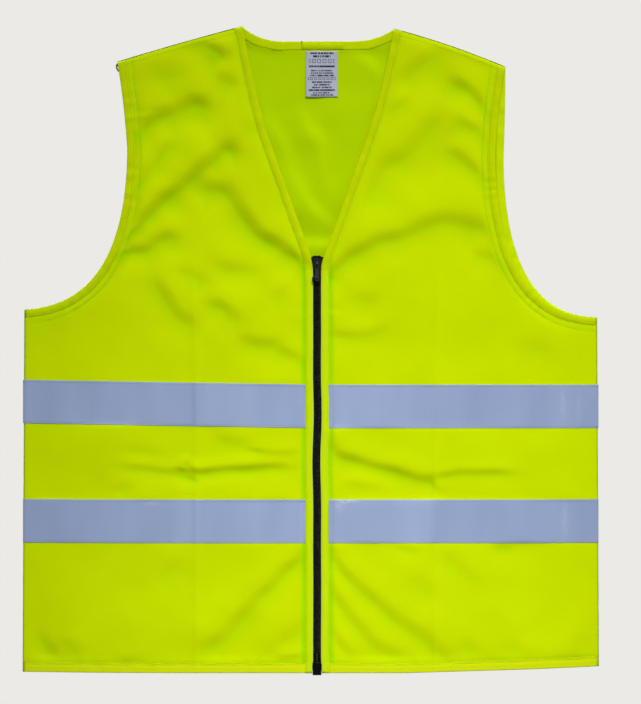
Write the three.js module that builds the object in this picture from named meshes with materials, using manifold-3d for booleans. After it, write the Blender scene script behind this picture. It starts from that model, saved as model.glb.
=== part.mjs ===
// High visibility vest, a sleeveless fabric vest with a front zip and two reflective bands.
// Millimetres. +Z is up along the garment, +X is towards the wearer's left and -Y is the front.
// The origin lies midway between the two neck points, on top of the shoulders.
// Left and right are always the wearer's, so the right half has negative X.
import * as THREE from 'three';
import { mergeVertices } from 'three/addons/utils/BufferGeometryUtils.js';
import Module from 'manifold-3d';

const wasm = await Module();
wasm.setup();

// ---- Driving dimensions -------------------------------------------------------------------

// Outline of each half, as [x, z]. The garment lies slightly askew, so the halves differ.
const RIGHT = {
  name: 'right',
  sign: -1,
  neckPoint: [-86, 0],
  shoulderTip: [-230, -41],
  armholeTop: [-222, -88],
  armholeNarrow: [-218.5, -140],
  armholeTurn: [-219, -320],
  backArmholeInset: 5,
  underarm: [-336.5, -326],
  hemCorner: [-338.5, -743.5],
  foldFoot: [-172, -743.5],
  neckBend: [-71, -80],
  neckKnee: [-59, -120],
  neckFoot: [-7, -265],
  bandRise: 5.5,
};
const LEFT = {
  name: 'left',
  sign: 1,
  neckPoint: [88.5, -3],
  shoulderTip: [217, -47],
  armholeTop: [208, -92],
  armholeNarrow: [205.5, -150],
  armholeTurn: [207, -333],
  backArmholeInset: -9.5,
  underarm: [322, -335],
  hemCorner: [324, -737],
  foldFoot: [170, -741.5],
  neckBend: [73, -80],
  neckKnee: [60, -120],
  neckFoot: [8, -265],
  bandRise: 0,
};
const HEM_LOW_POINT = [100, -743.5];
const BACK_NECK_DROP = 17;
const BACK_NECK_CORNER_X = 62;

// Depth of the garment, which opens in a straight wedge from the shoulders to the hem.
const NECK_HALF_DEPTH = 2.4;
const HEM_HALF_DEPTH = 26;
const GARMENT_LENGTH = 743;
const DEPTH_SLOPE = (HEM_HALF_DEPTH - NECK_HALF_DEPTH) / GARMENT_LENGTH;
const SIDE_HALF_DEPTH = 1.6;
const PLATEAU_HALF_WIDTH = 182;
const SIDE_FALL_POWER = 2.3;

// Fabric and trim. Depth layers are measured inwards from the fabric's outer face.
const GAP = 0.3;
const FABRIC = [0, 1.2];
const TRIM = [-0.4, 1.6];
const REFLECTIVE = [-0.8, -0.25];
const PLACKET = [-0.3, 1.3];
const ZIP_TAPE = [1.9, 2.5];
const ZIP_TEETH = [0.4, 2.8];
const LABEL = [2.0, 2.5];
const NECK_BINDING_WIDTH = 9;
const BACK_NECK_BINDING_WIDTH = 10;
const ARMHOLE_BINDING_WIDTH = 9;
const HEM_BAND_WIDTH = 11;
const SEAM_WIDTH = 6;
const NECK_JOIN_X = [-17, 30];
const NECK_JOIN_Z = [-26.4, -17.4];
const NECK_JOIN_DEPTH = [1.9, 2.3];

// Reflective bands, 50 mm wide, with the height of each upper edge.
const BAND_WIDTH = 50;
const UPPER_BAND_TOP = -412.5;
const LOWER_BAND_TOP = -544.5;
const BAND_START = 13.3;
const BACK_BAND_RIGHT_X = -338.5;
const BACK_BAND_LEFT_X = 324;

// Zip: two rows of teeth on woven tapes, between two narrow fabric plackets.
const ZIP_TOP = -264;
const STOP_FOOT = -266.5;
const PLACKET_TOP = -268.3;
const TEETH_TOP = -266.8;
const TEETH_FOOT = -722;
const TEETH_INNER = 0.6;
const TEETH_OUTER = 3.6;
const TAPE_INNER = 3.9;
const TAPE_OUTER = 17;
const FUNNEL_FOOT = -279;
const FUNNEL_INNER = 6.4;
const PLACKET_INNER = 4.3;
const PLACKET_OUTER = 13;
const BOX_HALF_WIDTH = 5;
const BOX_TOP = -732;
const BOX_FOOT = -746;
const BOX_DEPTH = [-0.9, 3.8];
const SOCKET_FOOT = -745;
const SOCKET_DEPTH = [0.4, 2.9];
const PIN_INNER = 0.9;
const PIN_OUTER = 3.3;
const PIN_DEPTH = [0.8, 2.5];
const INSERTION_PIN_FOOT = -744;

// Slider, in its own frame: its top edge is at z = 0 and the fabric's outer face at y = 0.
const SLIDER_TOP = -266.8;
const SLIDER_LENGTH = 13.6;
const SLIDER_TOP_HALF_WIDTH = 5.4;
const SLIDER_FOOT_HALF_WIDTH = 4.1;
const SLIDER_FRONT = [-1.9, -0.7];
const SLIDER_BACK = [3.1, 4.2];
const SLIDER_WEB_HALF_WIDTH = 0.28;
const SLIDER_WEB_LENGTH = 3.6;
const BRIDGE_HALF_WIDTH = 0.8;
const BRIDGE_RADIUS = 2.1;
const BRIDGE_BORE = 1.15;
const TAB_PIVOT = [0, -3.9, -6.8];
const TAB_BAR_HALF_HEIGHT = 0.5;
const TAB_LENGTH = 20.2;
const TAB_TOP_HALF_WIDTH = 2.1;
const TAB_FOOT_HALF_WIDTH = 2.5;
const TAB_HALF_THICKNESS = 0.55;
const TAB_WINDOW_HALF_WIDTH = 1.25;
const TAB_WINDOW_LENGTH = 4.8;
const TAB_EYE_RADIUS = 1;

// Care label inside the back of the neck.
const LABEL_LEFT_X = 24;
const LABEL_RIGHT_X = -13;
const LABEL_TOP = -27.8;
const LABEL_LENGTH = 53;

// ---- Materials ----------------------------------------------------------------------------

const fabricYellow = new THREE.MeshStandardMaterial({ color: 0xc8e100, roughness: 0.8 });
const trimYellow = new THREE.MeshStandardMaterial({ color: 0xbfd000, roughness: 0.75 });
const seamYellow = new THREE.MeshStandardMaterial({ color: 0xb4cc00, roughness: 0.8 });
const reflectiveGrey = new THREE.MeshStandardMaterial({ color: 0x9ba9c8, roughness: 0.4 });
const zipBlack = new THREE.MeshStandardMaterial({ color: 0x101013, roughness: 0.6 });
const toothBlack = new THREE.MeshStandardMaterial({ color: 0x15151a, roughness: 0.35 });
const sliderBlack = new THREE.MeshStandardMaterial({ color: 0x141416, roughness: 0.3, metalness: 0.6 });
const labelGrey = new THREE.MeshStandardMaterial({ color: 0xb4b8c8, roughness: 0.7 });

// ---- Solids -------------------------------------------------------------------------------

const PRISM_DEPTH = 200;
const RIBBON_OVERHANG = 6;
const BEYOND = 40;
const GRID_X = [180, 205, 230, 255, 280, 300, 320, 345];
const GRID_Z = [12, -118, -248, -378, -508, -638, -768];

function toSolid(geometry) {
  const bare = geometry.clone();
  bare.deleteAttribute('normal');
  bare.deleteAttribute('uv');
  const merged = mergeVertices(bare, 1e-4);
  const vertProperties = new Float32Array(merged.attributes.position.array);
  const triVerts = new Uint32Array(merged.index.array);
  return new wasm.Manifold(new wasm.Mesh({ numProp: 3, vertProperties, triVerts }));
}

function toGeometry(solid) {
  const made = solid.getMesh();
  const geometry = new THREE.BufferGeometry();
  geometry.setAttribute('position', new THREE.BufferAttribute(new Float32Array(made.vertProperties), 3));
  geometry.setIndex(new THREE.BufferAttribute(new Uint32Array(made.triVerts), 1));
  geometry.computeVertexNormals();
  return geometry;
}

// An upright prism through the garment's whole depth, over an outline of [x, z] points.
function prism(outline) {
  const shape = new THREE.Shape(outline.map(([x, z]) => new THREE.Vector2(x, z)));
  const geometry = new THREE.ExtrudeGeometry(shape, { depth: PRISM_DEPTH, bevelEnabled: false });
  geometry.rotateX(Math.PI / 2);
  geometry.translate(0, PRISM_DEPTH / 2, 0);
  return toSolid(geometry);
}

// An outline extruded between two depths.
function plate(outline, [near, far], holes = []) {
  const shape = new THREE.Shape(outline.map(([x, z]) => new THREE.Vector2(x, z)));
  shape.holes = holes;
  const geometry = new THREE.ExtrudeGeometry(shape, {
    depth: far - near,
    bevelEnabled: false,
    curveSegments: 6,
  });
  geometry.rotateX(Math.PI / 2);
  geometry.translate(0, far, 0);
  return geometry;
}

// Half the garment's depth at a place: flat across the middle, falling away to the side seams.
function halfDepth(x, z) {
  const middle = NECK_HALF_DEPTH - DEPTH_SLOPE * z;
  const sideX = x < 0 ? -RIGHT.hemCorner[0] : LEFT.hemCorner[0];
  const out = (Math.abs(x) - PLATEAU_HALF_WIDTH) / (sideX - PLATEAU_HALF_WIDTH);
  const fall = 1 - Math.min(Math.max(out, 0), 1) ** SIDE_FALL_POWER;
  return SIDE_HALF_DEPTH + (middle - SIDE_HALF_DEPTH) * fall;
}

// A solid over the whole garment between two surfaces y = low(x, z) and y = high(x, z).
function between(low, high) {
  const xs = [...GRID_X.map((x) => -x).reverse(), ...GRID_X];
  const columns = xs.length;
  const rows = GRID_Z.length;
  const points = [];
  for (const surface of [low, high]) {
    for (const z of GRID_Z) {
      for (const x of xs) {
        points.push(x, surface(x, z), z);
      }
    }
  }
  const layer = columns * rows;
  const faces = [];
  const quad = (a, b, c, d) => faces.push(a, b, c, a, c, d);
  for (let row = 0; row < rows - 1; row += 1) {
    for (let column = 0; column < columns - 1; column += 1) {
      const a = row * columns + column;
      const [b, c, d] = [a + columns, a + columns + 1, a + 1];
      quad(a, b, c, d);
      quad(layer + a, layer + d, layer + c, layer + b);
    }
  }
  for (let column = 0; column < columns - 1; column += 1) {
    const last = layer - columns + column;
    quad(column, column + 1, layer + column + 1, layer + column);
    quad(last + 1, last, layer + last, layer + last + 1);
  }
  for (let row = 0; row < rows - 1; row += 1) {
    const [a, b] = [row * columns, (row + 1) * columns];
    quad(b, a, layer + a, layer + b);
    const [c, d] = [a + columns - 1, b + columns - 1];
    quad(c, d, layer + d, layer + c);
  }
  const geometry = new THREE.BufferGeometry();
  geometry.setAttribute('position', new THREE.Float32BufferAttribute(points, 3));
  geometry.setIndex(faces);
  return toSolid(geometry);
}

// A layer that follows the front of the garment, or its back.
const frontLayer = ([near, far]) => between(
  (x, z) => near - halfDepth(x, z),
  (x, z) => far - halfDepth(x, z),
);
const backLayer = ([near, far]) => between(
  (x, z) => halfDepth(x, z) - far,
  (x, z) => halfDepth(x, z) - near,
);
const throughLayer = () => between((x, z) => -halfDepth(x, z), (x, z) => halfDepth(x, z));

// ---- Outlines -----------------------------------------------------------------------------

const curve = (start, control, end, steps) => new THREE.QuadraticBezierCurve(
  new THREE.Vector2(...start),
  new THREE.Vector2(...control),
  new THREE.Vector2(...end),
).getPoints(steps).map((point) => [point.x, point.y]);

// Each edge of a half, listed in the anticlockwise order of the right half seen from the front.
const shoulderEdge = (half) => [half.neckPoint, half.shoulderTip];
const sideEdge = (half) => [half.underarm, half.hemCorner];

function armholeEdge(half, inset = 0) {
  const shifted = ([x, z]) => [x - half.sign * inset, z];
  const narrow = shifted(half.armholeNarrow);
  const upper = curve(half.shoulderTip, shifted(half.armholeTop), narrow, 4);
  const lower = curve(narrow, shifted(half.armholeTurn), half.underarm, 9);
  return [...upper, ...lower.slice(1)];
}

function neckEdge(half) {
  const upper = curve(half.neckPoint, half.neckBend, half.neckKnee, 5);
  return [...upper, half.neckFoot].reverse();
}

// The edges that both halves share run anticlockwise too.
const HEM_EDGE = [RIGHT.hemCorner, HEM_LOW_POINT, LEFT.hemCorner];

function backNeckEdge() {
  const low = -BACK_NECK_DROP;
  const turnX = BACK_NECK_CORNER_X;
  const leftFall = curve(LEFT.neckPoint, [turnX + 8, low + 1], [turnX - 20, low], 4);
  const rightRise = curve([20 - turnX, low], [-turnX - 8, low + 2], RIGHT.neckPoint, 4);
  return [...leftFall, ...rightRise];
}

// A line moved to its left, which is towards the fabric on an anticlockwise edge.
function moved(line, distance) {
  return line.map(([x, z], index) => {
    const [fromX, fromZ] = line[Math.max(index - 1, 0)];
    const [toX, toZ] = line[Math.min(index + 1, line.length - 1)];
    const length = Math.hypot(toX - fromX, toZ - fromZ);
    return [x - ((toZ - fromZ) / length) * distance, z + ((toX - fromX) / length) * distance];
  });
}

// A line with both of its ends drawn out straight.
function drawnOut(line, extra) {
  const past = ([x, z], [fromX, fromZ]) => {
    const scale = extra / Math.hypot(x - fromX, z - fromZ);
    return [x + (x - fromX) * scale, z + (z - fromZ) * scale];
  };
  const [last, beforeLast] = [line[line.length - 1], line[line.length - 2]];
  return [past(line[0], line[1]), ...line, past(last, beforeLast)];
}

// The ribbon of a given width beside an edge. It overhangs the edge, and is trimmed to it later.
function ribbon(edge, width, sign = -1) {
  const ordered = drawnOut(sign < 0 ? edge : [...edge].reverse(), RIBBON_OVERHANG);
  return prism([...moved(ordered, -RIBBON_OVERHANG), ...moved(ordered, width).reverse()]);
}

// Each front half folds back along a straight line from its neck point to its hem.
function foldX(half, z) {
  const [[topX, topZ], [footX, footZ]] = [half.neckPoint, half.foldFoot];
  return topX + ((footX - topX) * (z - topZ)) / (footZ - topZ);
}

// The space on one side of a fold line, clear of the line by the gap.
function besideFold(half, towards, farX) {
  const [high, low] = [half.neckPoint[1] + BEYOND, half.foldFoot[1] - BEYOND];
  return prism([
    [foldX(half, high) + towards * GAP, high],
    [farX, high],
    [farX, low],
    [foldX(half, low) + towards * GAP, low],
  ]);
}

const leafSpace = (half) => besideFold(half, -half.sign, 0);
const seamSpace = (half) => besideFold(half, half.sign, half.hemCorner[0] + half.sign * BEYOND);

function frontOutline(half) {
  const hem = half.sign < 0 ? [half.hemCorner] : [half.hemCorner, HEM_LOW_POINT];
  return prism([
    ...armholeEdge(half),
    ...hem,
    [0, HEM_LOW_POINT[1]],
    [0, PLACKET_TOP],
    [half.neckFoot[0], PLACKET_TOP],
    ...neckEdge(half),
  ]);
}

function backOutline() {
  const right = armholeEdge(RIGHT, RIGHT.backArmholeInset);
  const left = armholeEdge(LEFT, LEFT.backArmholeInset).reverse();
  return prism([...right, ...HEM_EDGE, ...left, ...backNeckEdge()]);
}

const rectangle = (x0, x1, z0, z1) => [[x0, z0], [x1, z0], [x1, z1], [x0, z1]];

// ---- Fabric parts -------------------------------------------------------------------------

const vest = new THREE.Group();

function add(group, name, shape, material) {
  const geometry = shape.isBufferGeometry ? shape : toGeometry(shape);
  const mesh = new THREE.Mesh(geometry, material);
  mesh.name = name;
  group.add(mesh);
}

const HALVES = [RIGHT, LEFT];
const frontFabric = frontLayer(FABRIC);
const frontTrim = frontLayer(TRIM);
const frontReflective = frontLayer(REFLECTIVE);
const backFabric = backLayer(FABRIC);
const backTrim = backLayer(TRIM);
const backReflective = backLayer(REFLECTIVE);
const seamThrough = throughLayer();
const less = (solid, ...cutters) => cutters.reduce((left, cutter) => left.subtract(cutter), solid);

const hemRibbon = ribbon(HEM_EDGE, HEM_BAND_WIDTH);
const hemCutter = ribbon(HEM_EDGE, HEM_BAND_WIDTH + GAP);
const backNeckRibbon = ribbon(backNeckEdge(), BACK_NECK_BINDING_WIDTH);
const backNeckCutter = ribbon(backNeckEdge(), BACK_NECK_BINDING_WIDTH + GAP);

const SIDE_CUTTERS = HALVES.map((half) => ribbon(sideEdge(half), SEAM_WIDTH + GAP, half.sign));

// The ribbons of a half, and the wider ones that clear them from the panels.
function trimOf(half, inset) {
  const armhole = armholeEdge(half, inset);
  return {
    armhole: ribbon(armhole, ARMHOLE_BINDING_WIDTH, half.sign),
    armholeCutter: ribbon(armhole, ARMHOLE_BINDING_WIDTH + GAP, half.sign),
    shoulder: ribbon(shoulderEdge(half), SEAM_WIDTH, half.sign),
    shoulderCutter: ribbon(shoulderEdge(half), SEAM_WIDTH + GAP, half.sign),
    side: ribbon(sideEdge(half), SEAM_WIDTH, half.sign),
    sideCutter: ribbon(sideEdge(half), SEAM_WIDTH + GAP, half.sign),
  };
}

// The two bands of a half as outlines between two x positions, the outer end raised a little.
function bandOutlines(half, innerX, outerX) {
  const lift = (x) => (half.bandRise * Math.abs(x)) / Math.abs(half.hemCorner[0]);
  return [UPPER_BAND_TOP, LOWER_BAND_TOP].map((top, index) => {
    const rise = (x) => (index === 0 ? lift(x) : 0);
    return prism([
      [innerX, top + rise(innerX)],
      [outerX, top + rise(outerX)],
      [outerX, top - BAND_WIDTH + rise(outerX)],
      [innerX, top - BAND_WIDTH + rise(innerX)],
    ]);
  });
}
const BAND_NAMES = ['upper', 'lower'];

function addBack() {
  const outline = backOutline();
  let panel = less(backFabric.intersect(outline), hemCutter, backNeckCutter);
  for (const half of HALVES) {
    const trim = trimOf(half, half.backArmholeInset);
    panel = less(panel, trim.armholeCutter, trim.shoulderCutter, trim.sideCutter);
    const binding = backTrim.intersect(outline).intersect(trim.armhole);
    const name = `armhole_binding_back_${half.name}`;
    add(vest, name, less(binding, trim.shoulderCutter, trim.sideCutter), trimYellow);
  }
  const neckCutters = HALVES.map((half) => trimOf(half, half.backArmholeInset).shoulderCutter);
  const neckBinding = backTrim.intersect(outline).intersect(backNeckRibbon);
  const hemBand = less(backTrim.intersect(outline).intersect(hemRibbon), ...SIDE_CUTTERS);
  add(vest, 'back_panel', panel, fabricYellow);
  add(vest, 'hem_band_back', hemBand, trimYellow);
  add(vest, 'back_neck_binding', less(neckBinding, ...neckCutters), trimYellow);
  const join = prism(rectangle(...NECK_JOIN_X, ...NECK_JOIN_Z));
  add(vest, 'neck_binding_join', backLayer(NECK_JOIN_DEPTH).intersect(join), trimYellow);
  const bands = bandOutlines(RIGHT, BACK_BAND_LEFT_X, BACK_BAND_RIGHT_X);
  bands.forEach((band, index) => {
    add(vest, `reflective_band_${BAND_NAMES[index]}_back`, backReflective.intersect(band), reflectiveGrey);
  });
}

// The outer part of a front half, which stays with the back, and its seams.
function addSeamSide(half) {
  const space = frontOutline(half).intersect(seamSpace(half));
  const trim = trimOf(half, 0);
  const cutters = [hemCutter, trim.armholeCutter, trim.shoulderCutter, trim.sideCutter];
  add(vest, `front_panel_${half.name}_side`, less(frontFabric.intersect(space), ...cutters), fabricYellow);
  const binding = frontTrim.intersect(space).intersect(trim.armhole);
  const bindingName = `armhole_binding_front_${half.name}`;
  add(vest, bindingName, less(binding, trim.shoulderCutter, trim.sideCutter), trimYellow);
  const hem = less(frontTrim.intersect(space).intersect(hemRibbon), trim.sideCutter);
  add(vest, `hem_band_${half.name}_side`, hem, trimYellow);
  add(vest, `shoulder_seam_${half.name}`, seamThrough.intersect(space).intersect(trim.shoulder), seamYellow);
  add(vest, `side_seam_${half.name}`, seamThrough.intersect(space).intersect(trim.side), seamYellow);
  const bands = bandOutlines(half, foldX(half, UPPER_BAND_TOP) * 0.5, half.hemCorner[0]);
  bands.forEach((band, index) => {
    const name = `reflective_band_${BAND_NAMES[index]}_${half.name}_side`;
    add(vest, name, frontReflective.intersect(band).intersect(seamSpace(half)), reflectiveGrey);
  });
}

// The inner part of a front half, from the fold line to the zip, with its half of the zip.
function addLeaf(half) {
  const leaf = new THREE.Group();
  vest.add(leaf);
  const { name, sign } = half;
  const space = frontOutline(half).intersect(leafSpace(half));
  const neck = ribbon(neckEdge(half), NECK_BINDING_WIDTH, sign);
  const neckCutter = ribbon(neckEdge(half), NECK_BINDING_WIDTH + GAP, sign);
  const zipSide = prism(rectangle(-sign * BEYOND, sign * BAND_START, -BEYOND + HEM_LOW_POINT[1], PLACKET_TOP + GAP));
  const at = (inner, outer, foot, top) => prism(rectangle(sign * inner, sign * outer, foot, top));
  const panel = less(frontFabric.intersect(space), neckCutter, hemCutter, zipSide);
  add(leaf, `front_panel_${name}_leaf`, panel, fabricYellow);
  add(leaf, `neck_binding_${name}`, less(frontTrim.intersect(space).intersect(neck), zipSide), trimYellow);
  add(leaf, `hem_band_${name}_leaf`, less(frontTrim.intersect(space).intersect(hemRibbon), zipSide), trimYellow);
  bandOutlines(half, sign * BAND_START, foldX(half, HEM_LOW_POINT[1])).forEach((band, index) => {
    const shape = frontReflective.intersect(band).intersect(leafSpace(half));
    add(leaf, `reflective_band_${BAND_NAMES[index]}_${name}_leaf`, shape, reflectiveGrey);
  });
  const placket = prism([
    [sign * PLACKET_OUTER, PLACKET_TOP],
    [sign * FUNNEL_INNER, PLACKET_TOP],
    [sign * PLACKET_INNER, FUNNEL_FOOT],
    [sign * PLACKET_INNER, BOX_TOP + 2 * GAP],
    [sign * (BOX_HALF_WIDTH + GAP), BOX_TOP + 2 * GAP],
    [sign * (BOX_HALF_WIDTH + GAP), HEM_LOW_POINT[1]],
    [sign * PLACKET_OUTER, HEM_LOW_POINT[1]],
  ]);
  add(leaf, `zip_placket_${name}`, frontLayer(PLACKET).intersect(placket), fabricYellow);
  const tape = at(TAPE_INNER, TAPE_OUTER, BOX_TOP + GAP, ZIP_TOP);
  add(leaf, `zip_tape_${name}`, frontLayer(ZIP_TAPE).intersect(tape).intersect(leafSpace(half)), zipBlack);
  const teeth = at(TEETH_INNER, TEETH_OUTER, TEETH_FOOT, TEETH_TOP);
  add(leaf, `zip_teeth_${name}`, frontLayer(ZIP_TEETH).intersect(teeth), toothBlack);
  const stop = at(TEETH_INNER, TEETH_OUTER, STOP_FOOT, ZIP_TOP);
  add(leaf, `zip_top_stop_${name}`, frontLayer(ZIP_TEETH).intersect(stop), toothBlack);
  if (half === RIGHT) {
    const pin = at(PIN_INNER, PIN_OUTER, INSERTION_PIN_FOOT, TEETH_FOOT - GAP);
    add(leaf, 'zip_insertion_pin', frontLayer(PIN_DEPTH).intersect(pin), toothBlack);
    return;
  }
  const pin = at(PIN_INNER, PIN_OUTER, BOX_TOP + GAP, TEETH_FOOT - GAP);
  add(leaf, 'zip_box_pin', frontLayer(PIN_DEPTH).intersect(pin), toothBlack);
  const box = frontLayer(BOX_DEPTH).intersect(at(-BOX_HALF_WIDTH, BOX_HALF_WIDTH, BOX_FOOT, BOX_TOP));
  const socket = at(GAP - PIN_OUTER - 2 * GAP, GAP - PIN_INNER, SOCKET_FOOT, BOX_TOP + BEYOND);
  add(leaf, 'zip_retainer_box', box.subtract(frontLayer(SOCKET_DEPTH).intersect(socket)), toothBlack);
}

// ---- Zip slider and its pull tab ----------------------------------------------------------

function sliderBody() {
  const [top, foot, length] = [SLIDER_TOP_HALF_WIDTH, SLIDER_FOOT_HALF_WIDTH, SLIDER_LENGTH];
  const shoulder = length * 0.35;
  const outline = [
    [-top + 1, 0],
    [top - 1, 0],
    [top, -1],
    [top, -shoulder],
    [foot, -length + 1.5],
    [foot - 1, -length],
    [1 - foot, -length],
    [-foot, -length + 1.5],
    [-top, -shoulder],
    [-top, -1],
  ];
  const front = toSolid(plate(outline, SLIDER_FRONT));
  const back = toSolid(plate(outline, SLIDER_BACK));
  const half = SLIDER_WEB_HALF_WIDTH;
  const webDepth = [SLIDER_FRONT[1] - GAP, SLIDER_BACK[0] + GAP];
  const web = toSolid(plate(rectangle(-half, half, -SLIDER_WEB_LENGTH, -GAP), webDepth));
  return front.add(back).add(web);
}

// The arch over the slider's front plate that the pull tab hangs from, with its bore along X.
function sliderBridge() {
  const [, pivotY, pivotZ] = TAB_PIVOT;
  const foot = SLIDER_FRONT[0] - GAP - pivotY;
  const profile = new THREE.Shape();
  profile.moveTo(foot, -BRIDGE_RADIUS - 1);
  profile.lineTo(foot, BRIDGE_RADIUS + 1);
  profile.lineTo(0, BRIDGE_RADIUS);
  profile.absarc(0, 0, BRIDGE_RADIUS, Math.PI / 2, Math.PI * 1.5, false);
  const bore = new THREE.Path();
  bore.absarc(0, 0, BRIDGE_BORE, 0, Math.PI * 2, false);
  profile.holes = [bore];
  const geometry = new THREE.ExtrudeGeometry(profile, {
    depth: 2 * BRIDGE_HALF_WIDTH,
    bevelEnabled: false,
    curveSegments: 8,
  });
  geometry.translate(0, 0, -BRIDGE_HALF_WIDTH);
  const [alongX, alongY, alongZ] = [[1, 0, 0], [0, 1, 0], [0, 0, 1]].map((axis) => new THREE.Vector3(...axis));
  geometry.applyMatrix4(new THREE.Matrix4().makeBasis(alongY, alongZ, alongX));
  geometry.translate(0, pivotY, pivotZ);
  return geometry;
}

function pullTab() {
  const [top, foot] = [TAB_TOP_HALF_WIDTH, TAB_FOOT_HALF_WIDTH];
  const outline = new THREE.Shape();
  outline.moveTo(-top, TAB_BAR_HALF_HEIGHT);
  outline.lineTo(-foot, foot - TAB_LENGTH);
  outline.absarc(0, foot - TAB_LENGTH, foot, Math.PI, Math.PI * 2, false);
  outline.lineTo(top, TAB_BAR_HALF_HEIGHT);
  const barFoot = -TAB_BAR_HALF_HEIGHT;
  const windowOutline = rectangle(
    -TAB_WINDOW_HALF_WIDTH,
    TAB_WINDOW_HALF_WIDTH,
    barFoot - TAB_WINDOW_LENGTH,
    barFoot,
  );
  const tabWindow = new THREE.Path(windowOutline.map(([x, z]) => new THREE.Vector2(x, z)));
  const eye = new THREE.Path();
  eye.absarc(0, foot - TAB_LENGTH, TAB_EYE_RADIUS, 0, Math.PI * 2, true);
  outline.holes = [tabWindow, eye];
  const geometry = new THREE.ExtrudeGeometry(outline, {
    depth: 2 * TAB_HALF_THICKNESS,
    bevelEnabled: false,
    curveSegments: 6,
  });
  geometry.translate(0, 0, -TAB_HALF_THICKNESS);
  geometry.rotateX(Math.PI / 2);
  return geometry;
}

function addSlider() {
  const slider = new THREE.Group();
  slider.position.set(0, -halfDepth(0, SLIDER_TOP), SLIDER_TOP);
  slider.rotation.x = -Math.atan(DEPTH_SLOPE);
  vest.add(slider);
  add(slider, 'zip_slider_body', sliderBody(), sliderBlack);
  add(slider, 'zip_slider_bridge', sliderBridge(), sliderBlack);
  const tab = new THREE.Group();
  tab.position.set(...TAB_PIVOT);
  slider.add(tab);
  add(tab, 'zip_pull_tab', pullTab(), sliderBlack);
}

function addLabel() {
  const outline = rectangle(LABEL_RIGHT_X, LABEL_LEFT_X, LABEL_TOP - LABEL_LENGTH, LABEL_TOP);
  add(vest, 'care_label', backLayer(LABEL).intersect(prism(outline)), labelGrey);
}

addBack();
HALVES.forEach(addSeamSide);
HALVES.forEach(addLeaf);
addSlider();
addLabel();

export default vest;
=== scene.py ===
"""High visibility vest: its cloth, trim, reflective bands, zip and care label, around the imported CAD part.

Lengths are in millimetres up to the point where a mesh is made. X runs to the wearer's left, -Y is the
front and Z is up. "Right" and "left" are the wearer's. Places on the cloth are given as (x, z), and a
lift says how far a point stands out from the cloth's outer face.
"""

import math
from types import SimpleNamespace

import bmesh
import bpy
import numpy as np
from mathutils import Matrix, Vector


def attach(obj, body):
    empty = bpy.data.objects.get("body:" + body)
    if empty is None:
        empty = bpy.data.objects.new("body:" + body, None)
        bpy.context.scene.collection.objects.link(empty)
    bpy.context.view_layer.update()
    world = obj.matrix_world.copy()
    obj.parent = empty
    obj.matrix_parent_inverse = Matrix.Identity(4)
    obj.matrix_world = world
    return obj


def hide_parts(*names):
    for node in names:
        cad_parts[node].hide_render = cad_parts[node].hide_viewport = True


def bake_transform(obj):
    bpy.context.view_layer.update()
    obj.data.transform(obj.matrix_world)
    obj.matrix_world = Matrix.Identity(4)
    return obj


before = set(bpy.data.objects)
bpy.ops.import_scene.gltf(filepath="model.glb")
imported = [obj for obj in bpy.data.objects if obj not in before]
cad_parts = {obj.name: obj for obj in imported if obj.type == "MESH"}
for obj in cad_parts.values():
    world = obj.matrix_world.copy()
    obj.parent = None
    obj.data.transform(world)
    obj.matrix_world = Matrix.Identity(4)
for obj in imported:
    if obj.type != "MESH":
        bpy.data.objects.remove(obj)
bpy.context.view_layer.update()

MM = 0.001

# ---- Outline of the garment, the same as in the CAD source -------------------------------------

RIGHT = SimpleNamespace(
    name="right",
    sign=-1,
    fold_share=0.92,
    neck_point=(-86, 0),
    shoulder_tip=(-230, -41),
    shoulder_bow=0.8,
    armhole_top=(-222, -88),
    armhole_narrow=(-218.5, -140),
    armhole_turn=(-219, -320),
    back_armhole_inset=5,
    underarm=(-336.5, -326),
    hem_corner=(-338.5, -743.5),
    fold_foot=(-172, -743.5),
    neck_bend=(-71, -80),
    neck_knee=(-59, -120),
    neck_foot=(-7, -265),
    band_rise=5.5,
    crease_x=-139,
    crease_height=1.0,
    crease_shade=0.07,
    flank_start=145,
    flank_power=2.1,
)
LEFT = SimpleNamespace(
    name="left",
    sign=1,
    fold_share=0.80,
    neck_point=(88.5, -3),
    shoulder_tip=(217, -47),
    shoulder_bow=2.6,
    armhole_top=(208, -92),
    armhole_narrow=(205.5, -150),
    armhole_turn=(207, -333),
    back_armhole_inset=-9.5,
    underarm=(322, -335),
    hem_corner=(324, -737),
    fold_foot=(170, -741.5),
    neck_bend=(73, -80),
    neck_knee=(60, -120),
    neck_foot=(8, -265),
    band_rise=0,
    crease_x=135,
    crease_height=0.75,
    crease_shade=0.14,
    flank_start=200,
    flank_power=2.3,
)
HALVES = (RIGHT, LEFT)
HEM_LOW_POINT = (100, -743.5)
BACK_NECK_DROP = 17
BACK_NECK_CORNER_X = 62

# How far stitches draw the cloth in along a trim and beside the zip's plackets, and how wide the dip is.
TRIM_GROOVE = 0.45
TRIM_GROOVE_WIDTH = 1.5
PLACKET_GROOVE = 1.15
PLACKET_GROOVE_X = 15.5
PLACKET_GROOVE_WIDTH = 2.8

# Depth of the garment: a wedge that opens from the shoulders to the hem.
NECK_HALF_DEPTH = 2.4
DEPTH_SLOPE = 23.6 / 743
EDGE_HALF_DEPTH = 1.0
SHOULDER_ROUNDING = 5.0
SIDE_ROUNDING = 2.4

CLOTH_THICKNESS = 0.85
BAND_WIDTH = 50
BAND_TOPS = {"upper": -412.5, "lower": -544.5}
BAND_START = 13.3
NECK_BINDING_WIDTH = 9
BACK_NECK_BINDING_WIDTH = 10
ARMHOLE_BINDING_WIDTH = 9
SECOND_STITCH_LINE = 15.5
HEM_WIDTH = 11
ZIP_TOP = -264
PANEL_INNER_X = 12.2
TEETH_TOP = -267
TEETH_FOOT = -722


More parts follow.
